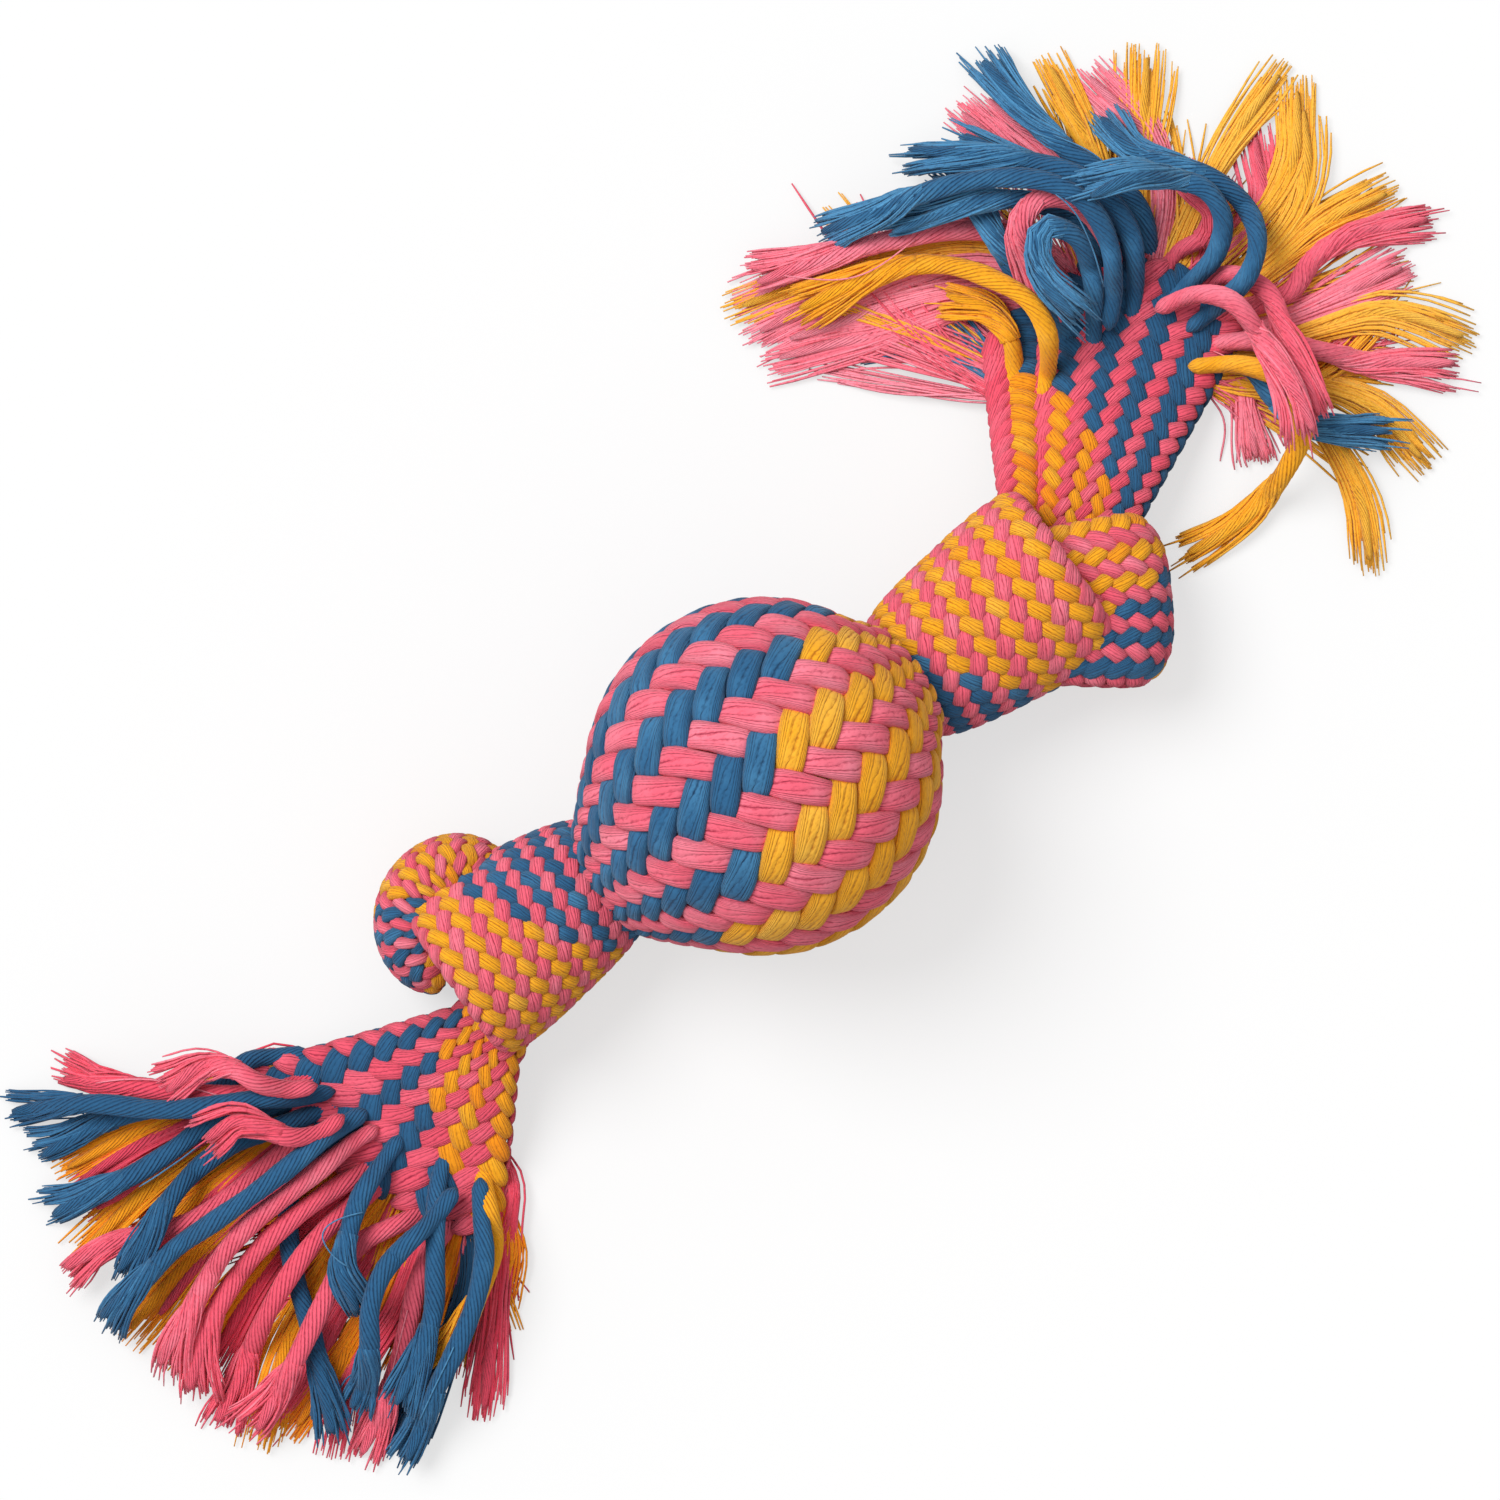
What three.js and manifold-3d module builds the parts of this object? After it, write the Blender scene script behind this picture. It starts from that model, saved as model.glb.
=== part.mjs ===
// Rope dog toy: a rubber core ball in a braided cotton cover, an overhand knot on each side of it,
// and beyond each knot a flat braided tail whose strands run out into a loose tassel.
// Millimetres, +Z up. The origin is on the floor under the ball, and the long axis is X.

import * as THREE from "three";
import { mergeVertices } from "three/addons/utils/BufferGeometryUtils.js";
import Module from "manifold-3d";

// Driving dimensions
const ballDiameter = 72;
const coverThickness = 6;
const coverMouthDiameter = 12;
const floorFlatDepth = 0.5;
const seatGap = 0.3;
const socketGap = 0.5;
const weldDistance = 0.0001;
const strandDiameter = 4.6;
const strandRootShare = 0.55;
const strandRootTaper = 16;
const strandPileGap = 0.6;
const strandBendRadius = 12;
const strandStep = 8.5;
const underStrandStep = 18;
const laySpacing = 2;
const knotHeight = 38;
const bandThickness = 11;
const foldHeight = 29;
const foldTaperShare = 0.75;
const foldCornerShare = 0.36;
const tailRootThickness = 10;
const tailRimThickness = 6.5;
const tailRootHeight = 12.5;
const sectionRoundShare = 0.7;

// Facets
const ballSides = 24;
const ballRings = 14;
const socketSides = 36;
const socketRings = 20;
const bandSides = 12;
const collarSteps = 18;
const foldSteps = 8;
const tailSteps = 6;
const tailRootSteps = 4;
const strandSides = 8;
const underStrandSides = 5;

// Colours of the dyed cotton and of the rubber
const colours = { pink: 0xee6a88, blue: 0x3a80a8, yellow: 0xe6ac22, rubber: 0x3d3a38 };
const clothRoughness = 0.95;
const rubberRoughness = 0.8;

// One end of the toy. Both ends have the same knot, turned half round, with their own sizes.
// The knot is measured outwards from the ball's centre, with its rear fold on the minus side.
const rightEnd = {
  name: "right",
  turn: 0,
  collarStart: 32,
  collarEnd: 75,
  collarRootHalfWidth: 15.5,
  collarHalfWidth: 21.5,
  collarShift: -0.5,
  foldApex: [-37.5, 55],
  foldFrom: -37,
  foldTo: -23,
  foldRoot: 106,
  foldReach: 145,
  fanApex: [46, -23.5],
  fanFrom: 25,
  fanTo: 60.5,
  hingeRadius: 44,
  rimRadii: [86, 92, 72],
  swing: 15,
};
const leftEnd = {
  name: "left",
  turn: 180,
  collarStart: 34,
  collarEnd: 75.5,
  collarRootHalfWidth: 14.5,
  collarHalfWidth: 21,
  collarShift: -2,
  foldApex: [66, -10.5],
  foldFrom: -158,
  foldTo: 35,
  foldRoot: 3,
  foldReach: 18.5,
  fanApex: [-62, -7],
  fanFrom: 160,
  fanTo: 230,
  hingeRadius: 16,
  rimRadii: [52, 45, 45],
  swing: 15,
};

// The strands of each tassel as they lie, seen from above: colour, then the points of the route
// from the braid to the tip. They are laid in this order, so a later strand lies over an earlier one.
leftEnd.underStrands = [
  ["yellow", [-104, 3.5], [-122, 8.5], [-134, 11.5], [-146, 14], [-158, 15.5]],
  ["pink", [-103, 1.5], [-123, 5.5], [-136, 9.5], [-148, 11.5], [-157, 12]],
  ["yellow", [-102, -0.5], [-122, 2], [-137, 3], [-151, 2.5], [-165, 0.5]],
  ["pink", [-102, -1.5], [-122, 1.5], [-136, 5], [-147, 5], [-158, 5.5]],
  ["yellow", [-101, -4.5], [-119, -3], [-133, -3.5], [-144, -4.5], [-153, -3.5]],
  ["pink", [-101, -6.5], [-118, -4.5], [-130, -5], [-143, -6.5], [-154, -7.5]],
  ["yellow", [-101, -9.5], [-120, -9.5], [-135, -11.5], [-150, -13.5], [-166, -17.5]],
  ["pink", [-100, -11.5], [-120, -12], [-136, -13.5], [-150, -15.5], [-160, -18.5]],
  ["yellow", [-100, -15.5], [-118, -17.5], [-133, -20.5], [-148, -24.5], [-162, -28.5]],
  ["pink", [-99, -18.5], [-117, -20.5], [-130, -21.5], [-143, -25.5], [-156, -31.5]],
  ["yellow", [-99, -21.5], [-116, -26.5], [-130, -31.5], [-144, -38.5], [-157, -49.5]],
  ["pink", [-98, -23.5], [-116, -31.5], [-131, -38.5], [-145, -45.5], [-155, -48.5]],
  ["yellow", [-97, -26.5], [-113, -34.5], [-126, -42.5], [-139, -48.5], [-150, -52.5]],
  ["pink", [-96, -28.5], [-112, -38.5], [-124, -46.5], [-137, -51.5], [-146, -59.5]],
  ["yellow", [-94, -31.5], [-108, -43.5], [-119, -51.5], [-128, -57.5]],
  ["yellow", [-89, -32.5], [-93, -41.5], [-97, -48.5], [-104, -53.5]],
  ["pink", [-87, -30.5], [-89, -38.5], [-93, -43.5], [-99, -48.5], [-106, -51.5]],
  ["pink", [-103, 2.5], [-109, 5.5], [-114, 10.5], [-121, 10.5], [-130, 7.5], [-140, 6.5]],
  ["blue", [-97, -33.5], [-106, -48.5], [-113, -54.5], [-121, -58.5], [-129, -62.5], [-137, -67.5]],
  ["pink", [-92, -32.5], [-99, -48.5], [-105, -55.5], [-111, -62.5], [-118, -70.5]],
];
leftEnd.topStrands = [
  ["pink", [-106, -8.5], [-118, -6.5], [-128, -7], [-138, -8], [-147, -7], [-156, -4], [-163, -1.5], [-170, -0.5]],
  ["blue", [-107, 6.5], [-113, 10], [-118, 12.5], [-125, 11.5], [-133, 13], [-142, 17], [-151, 19.5], [-161, 20.5]],
  ["blue", [-107, -1.5], [-115, 0.5], [-123, 3.5], [-132, 6.5], [-141, 6.5], [-150, 7], [-158, 8.5], [-166, 9.5]],
  ["blue", [-106, -5.5], [-114, -3.5], [-122, -1.5], [-130, 0.5], [-139, 0.5], [-147, -1.5], [-154, -4.5], [-161, -6.5]],
  ["blue", [-103, -12.5], [-113, -11], [-121, -12.5], [-127, -15], [-131, -20.5], [-135, -28.5], [-138, -37.5], [-142, -47.5], [-146, -56.5]],
  ["pink", [-107, 1.5], [-114, 3.5], [-121, 6.5], [-128, 11.5], [-135, 17.5], [-142, 23.5], [-149, 29.5]],
  ["pink", [-101, -22.5], [-109, -23], [-117, -23.5], [-126, -24.5], [-134, -27], [-142, -30.5], [-150, -35], [-157, -39.5], [-163, -42.5]],
  ["pink", [-99, -29.5], [-106, -32.5], [-113, -31.5], [-120, -30.5], [-127, -32.5], [-134, -36.5], [-143, -41.5], [-151, -45.5], [-157, -48.5]],
  ["pink", [-96, -34.5], [-103, -37.5], [-110, -40], [-116, -44], [-122, -49.5], [-129, -55.5], [-136, -60.5], [-143, -64.5]],
  ["pink", [-103, -18], [-111, -19], [-119, -18.5], [-127, -18.5], [-136, -19.5], [-145, -22], [-153, -25.5], [-159, -29.5], [-164, -33.5]],
  ["pink", [-104, -13.5], [-110, -13], [-117, -13.5], [-126, -14], [-135, -14.5], [-144, -16.5], [-152, -20], [-159, -23.5], [-166, -26.5]],
  ["yellow", [-90, -27.5], [-93, -34.5], [-95.5, -40.5], [-99, -46.5], [-105, -51.5], [-113, -55.5], [-122, -58.5]],
  ["blue", [-107, -2.5], [-114, 1], [-121, 5.5], [-130, 10], [-138, 15], [-147, 22.5], [-154, 27], [-161, 30.5]],
  ["blue", [-104, -9.5], [-112, -9], [-121, -9.5], [-131, -10], [-142, -10], [-152, -10], [-161, -11.5], [-170, -12.5]],
  ["blue", [-101, -17.5], [-108, -20], [-115, -23], [-121, -27.5], [-126, -32.5], [-128, -39.5]],
  ["blue", [-96, -25.5], [-101, -30], [-106, -36.5], [-111, -43.5], [-116, -50], [-123, -55.5], [-131, -60]],
  ["blue", [-98, -32.5], [-106, -35], [-113, -36], [-120, -38], [-126, -42.5], [-130, -48], [-134, -52.5], [-139, -55.5]],
  ["blue", [-93, -33.5], [-97, -39.5], [-101, -46.5], [-107, -52.5], [-115, -58], [-125, -63.5], [-136, -70.5]],
  ["pink", [-108, -7.5], [-114, -7.5], [-119, -5], [-122, -0.5], [-126, 4], [-131, 4.5]],
  ["pink", [-109, 0.5], [-114, 3], [-118, 7.5], [-121, 13.5], [-126, 17], [-132, 17]],
];
rightEnd.underStrands = [
  ["pink", [104, 34.5], [101, 41.5], [95, 47.5], [88, 53.5], [79, 56.5], [70, 59.5], [61, 63.5], [53, 66.5]],
  ["pink", [104, 35.5], [102, 44.5], [96, 52.5], [87, 58.5], [77, 62.5], [67, 65.5], [57, 68.5]],
  ["pink", [106, 34.5], [105, 45.5], [100, 55.5], [91, 62.5], [80, 66.5], [69, 69.5], [59, 72.5], [53, 73.5]],
  ["yellow", [107, 35.5], [107, 46.5], [103, 56.5], [95, 64.5], [84, 69.5], [72, 73.5], [61, 77.5], [53, 79.5]],
  ["pink", [109, 34.5], [109, 46.5], [105, 58.5], [97, 66.5], [86, 71.5], [75, 74.5], [65, 77.5], [56, 79.5]],
  ["pink", [111, 33.5], [114, 45.5], [115, 56.5], [114, 67.5], [112, 76.5], [110, 84.5]],
  ["pink", [112, 33.5], [118, 46.5], [120, 58.5], [119, 70.5], [116, 83.5]],
  ["yellow", [113, 32.5], [120, 44.5], [124, 56.5], [127, 68.5], [129, 81.5]],
  ["yellow", [114, 31.5], [123, 43.5], [131, 54.5], [138, 63.5], [145, 72.5]],
  ["pink", [114, 30.5], [124, 40.5], [133, 49.5], [137, 60.5], [135, 75.5]],
  ["yellow", [116, 29.5], [127, 37.5], [138, 44.5], [150, 50.5], [164, 55.5]],
  ["pink", [116, 28.5], [128, 33.5], [140, 33.5], [149, 37.5], [154, 46.5]],
  ["yellow", [117, 27.5], [129, 31.5], [141, 33.5], [152, 36.5], [160, 41.5], [166, 49.5]],
  ["yellow", [117, 26.5], [130, 27.5], [142, 28.5], [153, 31.5], [160, 37.5], [165, 45.5]],
  ["yellow", [118, 25.5], [131, 24.5], [144, 25.5], [156, 26.5], [168, 24.5]],
  ["pink", [118, 23.5], [130, 18.5], [142, 14.5], [152, 12.5], [162, 10.5]],
  ["yellow", [118, 21.5], [131, 13.5], [144, 9.5], [155, 5.5], [161, -0.5], [165, -6.5]],
  ["yellow", [117, 19.5], [128, 8.5], [137, -0.5], [143, -9.5], [145, -21.5]],
  ["yellow", [117, 17.5], [127, 5.5], [132, -4.5], [132, -15.5], [130, -24.5], [126, -32.5]],
  ["pink", [117, 15.5], [124, 10.5], [122, 4.5], [119, -2.5]],
];
rightEnd.topStrands = [
  ["blue", [118, 16.5], [124, 14.5], [127.5, 10.5], [127.5, 3.5], [129, -2.5], [134, -8.5], [141, -14]],
  ["pink", [119, 27.5], [128, 24], [136, 20.5], [143, 19], [150, 21.5], [158, 21.5], [165, 19], [172, 16]],
  ["pink", [118, 22.5], [128, 17], [136, 11], [142, 4.5], [147, -1], [153, -5.5], [160, -10.5]],
  ["yellow", [117, 18.5], [126, 12.5], [131, 4.5], [129, -4.5], [122, -9.5], [113, -12.5], [103, -13], [98, -12.5]],
  ["yellow", [84, 31.5], [88, 37.5], [91, 43.5], [91, 50.5], [87, 56.5]],
  ["pink", [104, 36.5], [106, 45.5], [105, 54.5], [101, 62.5], [93, 68.5], [84, 73], [75, 76.5], [66, 79.5], [58, 81.5]],
  ["blue", [98, 31.5], [101, 38.5], [101.5, 45.5], [99.5, 53.5], [100, 61.5], [101, 69.5], [98, 77.5]],
  ["blue", [114, 36.5], [120, 43.5], [122, 51.5], [121, 59.5], [117, 66.5], [112, 73.5], [108, 80.5]],
  ["blue", [109, 36.5], [114, 44.5], [115.5, 53.5], [112, 61.5], [105, 67.5], [96, 71.5], [86, 74]],
  ["pink", [120, 32.5], [128, 31], [135, 28.5], [138.5, 21.5], [137, 13.5], [135, 5.5], [133, -2.5]],
  ["pink", [111, 37.5], [117, 44.5], [118.5, 52.5], [116, 59.5], [110.5, 63], [105, 60.5], [102.5, 53.5], [101.5, 46.5]],
  ["blue", [119, 36.5], [124.5, 42.5], [127.5, 50.5], [125.5, 59.5], [122, 68.5], [120, 78.5], [119, 90.5]],
  ["yellow", [89, 29.5], [94, 34.5], [97.5, 40.5], [98, 47.5], [94.5, 55.5], [89.5, 62.5], [82.5, 67.5], [73, 70.5], [62, 72.5]],
  ["blue", [103, 31.5], [108, 38.5], [112, 45.5], [113, 52.5], [109, 57.5], [104.5, 54.5], [102.5, 48.5], [103, 41.5]],
  ["pink", [121, 35.5], [129, 38.5], [135, 38], [139, 41.5], [137, 48.5]],
  ["blue", [113, 32.5], [119, 39.5], [123, 48.5], [122.5, 57.5], [118.5, 65.5], [112, 73], [105, 79], [98, 85]],
  ["blue", [121, 24.5], [129, 25], [137, 26.5], [143, 31.5], [145, 38.5], [143, 46], [138, 53.5], [133, 60.5], [132, 67.5]],
  ["blue", [108, 33.5], [114, 40.5], [118, 48.5], [118.5, 56.5], [115, 64], [108.5, 70], [100.5, 74.5], [92, 77.5], [83, 79.5], [74, 82.5]],
  ["blue", [120, 30.5], [127, 32], [134, 33.5], [139.5, 38.5], [140, 45.5], [135, 51.5], [129, 55.5], [122, 57]],
  ["pink", [118, 31.5], [126, 29.5], [131, 24.5], [132, 16.5], [131.5, 8.5], [131, 0.5], [130, -4.5]],
];

// Manifold library
const library = await Module();
library.setup();

const circle = (share) => share * 2 * Math.PI;
const radians = (degrees) => THREE.MathUtils.degToRad(degrees);

// A closed geometry as a solid that can be joined and cut
function solidOf(geometry) {
  const bare = geometry.index ? geometry : geometry.clone();
  bare.deleteAttribute("normal");
  bare.deleteAttribute("uv");
  const merged = mergeVertices(bare, weldDistance);
  return new library.Manifold(new library.Mesh({
    numProp: 3,
    vertProperties: merged.attributes.position.array,
    triVerts: new Uint32Array(merged.index.array),
  }));
}

// A solid as a geometry that a mesh can show
function geometryOf(solid) {
  const made = solid.getMesh();
  const geometry = new THREE.BufferGeometry();
  geometry.setAttribute("position", new THREE.BufferAttribute(made.vertProperties, made.numProp));
  geometry.setIndex(new THREE.BufferAttribute(made.triVerts, 1));
  const flat = geometry.toNonIndexed();
  flat.computeVertexNormals();
  return flat;
}

// A closed geometry from rings of points, with flat ends, or running round into itself
function loft(rings, closed = false) {
  const sides = rings[0].length;
  const points = rings.flat();
  const faces = [];
  const last = closed ? rings.length : rings.length - 1;
  for (let ring = 0; ring < last; ring += 1) {
    const next = (ring + 1) % rings.length;
    for (let side = 0; side < sides; side += 1) {
      const turn = (side + 1) % sides;
      faces.push(ring * sides + side, ring * sides + turn, next * sides + turn);
      faces.push(ring * sides + side, next * sides + turn, next * sides + side);
    }
  }
  if (!closed) {
    for (const [ring, flip] of [[0, true], [rings.length - 1, false]]) {
      const middle = points.length;
      points.push(rings[ring].reduce((sum, point) => sum.add(point), new THREE.Vector3()).divideScalar(sides));
      for (let side = 0; side < sides; side += 1) {
        const pair = [ring * sides + side, ring * sides + ((side + 1) % sides)];
        faces.push(middle, ...(flip ? pair.reverse() : pair));
      }
    }
  }
  const geometry = new THREE.BufferGeometry().setFromPoints(points);
  geometry.setIndex(faces);
  return geometry;
}

// A point of a band's rounded section, at a share of the way round: across its width, then its thickness
function sectionPoint(share, width, thickness) {
  const angle = circle(share);
  const bend = (value) => Math.sign(value) * Math.abs(value) ** sectionRoundShare;
  return [bend(Math.cos(angle)) * width / 2, bend(Math.sin(angle)) * thickness / 2];
}

const ballRadius = ballDiameter / 2;
const coreRadius = ballRadius - coverThickness;
const ballCentre = new THREE.Vector3(0, 0, ballRadius - floorFlatDepth);

// A ball with its poles on the long axis, for the core, the cover and their clearances
function ballSolid(radius, sides = ballSides, turns = ballRings) {
  const geometry = new THREE.SphereGeometry(radius, sides, turns);
  geometry.rotateZ(Math.PI / 2);
  geometry.translate(ballCentre.x, ballCentre.y, ballCentre.z);
  return solidOf(geometry);
}

// A plain block under the floor, which cuts a flat where a soft piece rests
function underFloor() {
  const span = 4 * (rightEnd.collarEnd + rightEnd.rimRadii[1]);
  const geometry = new THREE.BoxGeometry(span, span, ballDiameter);
  geometry.translate(0, 0, -ballRadius);
  return solidOf(geometry);
}
const floorCut = underFloor();

// The rubber ball in the middle
const coreBall = ballSolid(coreRadius);

// The braided cover, with a puckered mouth on each side where the tube of strands runs on
function coverSolid() {
  const mouth = new THREE.CylinderGeometry(
    coverMouthDiameter / 2, coverMouthDiameter / 2, 2 * ballDiameter, bandSides);
  mouth.rotateZ(Math.PI / 2);
  mouth.translate(ballCentre.x, ballCentre.y, ballCentre.z);
  return ballSolid(ballRadius)
    .subtract(ballSolid(coreRadius + seatGap))
    .subtract(solidOf(mouth))
    .subtract(floorCut);
}

// Where a knot's centre stands, and the half height of the collar's ring at its middle
const knotMiddle = (knotHeight - floorFlatDepth) / 2;

// The knot's collar: the band of braid that wraps once round the neck, wider away from the ball
function collarGeometry(end) {
  const middle = (end.collarStart + end.collarEnd) / 2;
  const width = end.collarEnd - end.collarStart;
  const flare = end.collarHalfWidth - end.collarRootHalfWidth;
  const across = end.collarHalfWidth - (flare + bandThickness) / 2;
  const up = knotHeight / 2 - (flare + bandThickness) / 2;
  const rings = [];
  for (let step = 0; step < collarSteps; step += 1) {
    const angle = circle(step / collarSteps);
    const ring = [];
    for (let side = 0; side < bandSides; side += 1) {
      const [along, out] = sectionPoint(side / bandSides, width, bandThickness);
      const outward = out + flare * along / width;
      ring.push(new THREE.Vector3(
        middle + along,
        end.collarShift + Math.cos(angle) * (across + outward),
        knotMiddle + Math.sin(angle) * (up + outward)));
    }
    rings.push(ring);
  }
  return loft(rings, true);
}

// The knot's rear fold: the flat tube runs out of the collar, turns down over a wide edge and back
function foldGeometry(end) {
  const rings = [];
  for (let step = 0; step <= foldSteps; step += 1) {
    const place = step / foldSteps;
    const angle = radians(THREE.MathUtils.lerp(end.foldFrom, end.foldTo, place));
    const size = Math.sqrt(1 - foldTaperShare * (2 * place - 1) ** 4);
    const reach = THREE.MathUtils.lerp(
      end.foldRoot, end.foldReach, THREE.MathUtils.lerp(1, size, foldCornerShare));
    const middle = (end.foldRoot + reach) / 2;
    rings.push(Array.from({ length: bandSides }, (_, side) => {
      const [out, up] = sectionPoint(side / bandSides, reach - end.foldRoot, foldHeight * size);
      return new THREE.Vector3(
        end.foldApex[0] + Math.cos(angle) * (middle + out),
        end.foldApex[1] + Math.sin(angle) * (middle + out),
        foldHeight / 2 - floorFlatDepth + up);
    }));
  }
  return loft(rings.reverse());
}

// The neck: the tube between the ball and the collar, which fills the collar's hole
function neckGeometry(end) {
  const flare = end.collarHalfWidth - end.collarRootHalfWidth;
  const path = [[0, flare], [end.collarStart, flare], [end.collarEnd - bandThickness / 2, 0]];
  const rings = path.map(([along, drawnIn]) => Array.from({ length: bandSides }, (_, side) => {
    const width = 2 * (end.collarHalfWidth - drawnIn) - bandThickness;
    const height = knotHeight - 2 * drawnIn - bandThickness;
    const [across, up] = sectionPoint(side / bandSides, width, height);
    return new THREE.Vector3(along, end.collarShift + across, knotMiddle + up);
  }));
  return loft(rings);
}

// The fan of a tail: its middle angle, its half angle and its hinge point
function fanOf(end) {
  const middle = radians((end.fanFrom + end.fanTo) / 2);
  const half = radians((end.fanTo - end.fanFrom) / 2);
  const apex = new THREE.Vector2(...end.fanApex);
  const direction = new THREE.Vector2(Math.cos(middle), Math.sin(middle));
  const hinge = apex.clone().addScaledVector(direction, end.hingeRadius);
  return { middle, half, apex, direction, hinge, rootRadius: end.hingeRadius * Math.sin(half) };
}

// Height of a tail's middle and its thickness, at a share of the way from its hinge to its rim
function tailLevel(share) {
  const smooth = share * share * (3 - 2 * share);
  const thickness = THREE.MathUtils.lerp(tailRootThickness, tailRimThickness, smooth);
  const middle = THREE.MathUtils.lerp(tailRootHeight, tailRimThickness / 2, smooth);
  return { thickness, middle };
}

// Radius of a tail's rim about the fan's apex, at a share of its half angle from minus one to one
function rimRadius(end, share) {
  const [from, middle, to] = end.rimRadii;
  return middle + (to - from) / 2 * share + ((to + from) / 2 - middle) * share * share;
}

// A tail's flat braided sleeve: round in plan about its hinge, then a fan out to its rim
function sleeveGeometry(end, grow = 0) {
  const fan = fanOf(end);
  const rings = [];
  const rootRadius = fan.rootRadius + grow;
  const push = (radius, halfWidth, level) => {
    const ring = [];
    for (let side = 0; side < bandSides; side += 1) {
      const [across, up] = sectionPoint(side / bandSides, 2 * halfWidth, level.thickness + 2 * grow);
      const turn = Math.asin(across / radius);
      const skew = (rimRadius(end, turn / fan.half) - end.hingeRadius) / (end.rimRadii[1] - end.hingeRadius);
      const reach = end.hingeRadius + Math.max(0, radius - end.hingeRadius) * skew
        + Math.min(0, radius - end.hingeRadius);
      ring.push(new THREE.Vector3(
        fan.apex.x + Math.cos(fan.middle + turn) * reach,
        fan.apex.y + Math.sin(fan.middle + turn) * reach,
        level.middle + up));
    }
    rings.push(ring);
  };
  for (let step = 0; step < tailRootSteps; step += 1) {
    const angle = circle((step + 1) / (tailRootSteps + 1) / 4);
    push(end.hingeRadius - rootRadius * Math.cos(angle), rootRadius * Math.sin(angle), tailLevel(0));
  }
  for (let step = 0; step <= tailSteps; step += 1) {
    const share = step / tailSteps;
    const radius = THREE.MathUtils.lerp(end.hingeRadius, end.rimRadii[1], share);
    push(radius, radius * Math.sin(fan.half) + grow, tailLevel(share));
  }
  return loft(rings);
}

// The space that a tail sweeps beside its knot, with a gap all round
function tailClearance(end) {
  const fan = fanOf(end);
  let swept = null;
  for (const share of [-1, 0, 1]) {
    const geometry = sleeveGeometry(end, seatGap);
    geometry.translate(-fan.hinge.x, -fan.hinge.y, 0);
    geometry.rotateZ(radians(share * end.swing));
    geometry.translate(fan.hinge.x, fan.hinge.y, 0);
    const turned = solidOf(geometry);
    swept = swept ? swept.add(turned) : turned;
  }
  return swept;
}

// A knot: collar, neck and rear fold, hollowed against the ball and clear of the tail's swing
function knotSolid(end) {
  const pieces = [collarGeometry(end), foldGeometry(end), neckGeometry(end)];
  const whole = pieces
    .map((geometry) => solidOf(geometry.rotateZ(radians(end.turn))))
    .reduce((sum, piece) => sum.add(piece));
  return whole
    .subtract(ballSolid(ballRadius + socketGap, socketSides, socketRings))
    .subtract(tailClearance(end))
    .subtract(floorCut);
}

// Height of a sleeve's upper face at a point of the plan, or zero beside it
function sleeveTop(end, x, y) {
  const fan = fanOf(end);
  const radius = Math.hypot(x - fan.apex.x, y - fan.apex.y);
  const offset = new THREE.Vector2(x, y).sub(fan.apex).angle();
  const turn = Math.atan2(Math.sin(offset - fan.middle), Math.cos(offset - fan.middle));
  const rim = rimRadius(end, THREE.MathUtils.clamp(turn / fan.half, -1, 1));
  const beyond = Math.max(0, radius - rim, (Math.abs(turn) - fan.half) * radius);
  if (beyond > strandDiameter / 2) return 0;
  const share = THREE.MathUtils.clamp((radius - end.hingeRadius) / (rim - end.hingeRadius), 0, 1);
  const level = tailLevel(share);
  const edge = Math.sqrt(1 - (beyond / (strandDiameter / 2)) ** 2);
  return level.middle + edge * level.thickness / 2;
}

// Radius of a strand at a distance along it: the braid squeezes its root
function strandRadius(along) {
  const share = THREE.MathUtils.smoothstep(along, 0, strandRootTaper);
  return strandDiameter / 2 * THREE.MathUtils.lerp(strandRootShare, 1, share);
}

// Lays one strand: it follows its route in plan, and its height is what carries it,
// bridged so that it bends no tighter than its bend radius
function layStrand(end, route, laid, onSleeve) {
  const plan = new THREE.CatmullRomCurve3(
    route.map(([x, y]) => new THREE.Vector3(x, y, 0)), false, "centripetal");
  const length = plan.getLength();
  const count = Math.round(length / laySpacing);
  const places = plan.getSpacedPoints(count);
  const carried = places.map(({ x, y }, index) => {
    const radius = strandRadius(index * length / count);
    let height = radius;
    if (onSleeve) height = Math.max(height, sleeveTop(end, x, y) + radius + seatGap);
    for (const other of laid) {
      const near = Math.hypot(other.x - x, other.y - y);
      const reach = radius + other.radius + strandPileGap;
      if (near < reach) height = Math.max(height, other.z + Math.sqrt(reach * reach - near * near));
    }
    return height;
  });
  return places.map(({ x, y }, index) => {
    const bridged = carried.map((height, other) =>
      height - ((index - other) * length / count) ** 2 / (2 * strandBendRadius));
    return { x, y, z: Math.max(...bridged), radius: strandRadius(index * length / count) };
  });
}

// A strand as a plain tube along its laid points, squeezed where it leaves the braid
function strandSolid(points, sides, step) {
  const path = new THREE.CatmullRomCurve3(
    points.map(({ x, y, z }) => new THREE.Vector3(x, y, z)), false, "centripetal");
  const length = path.getLength();
  const steps = Math.max(3, Math.round(length / step));
  const upward = new THREE.Vector3(0, 0, 1);
  const rings = Array.from({ length: steps + 1 }, (_, index) => {
    const centre = path.getPointAt(index / steps);
    const tangent = path.getTangentAt(index / steps);
    const across = new THREE.Vector3().crossVectors(tangent, upward).normalize();
    const over = new THREE.Vector3().crossVectors(tangent, across);
    const radius = strandRadius(index / steps * length);
    return Array.from({ length: sides }, (_, side) => centre.clone()
      .addScaledVector(across, Math.cos(circle(side / sides)) * radius)
      .addScaledVector(over, Math.sin(circle(side / sides)) * radius));
  });
  return solidOf(loft(rings));
}

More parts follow.
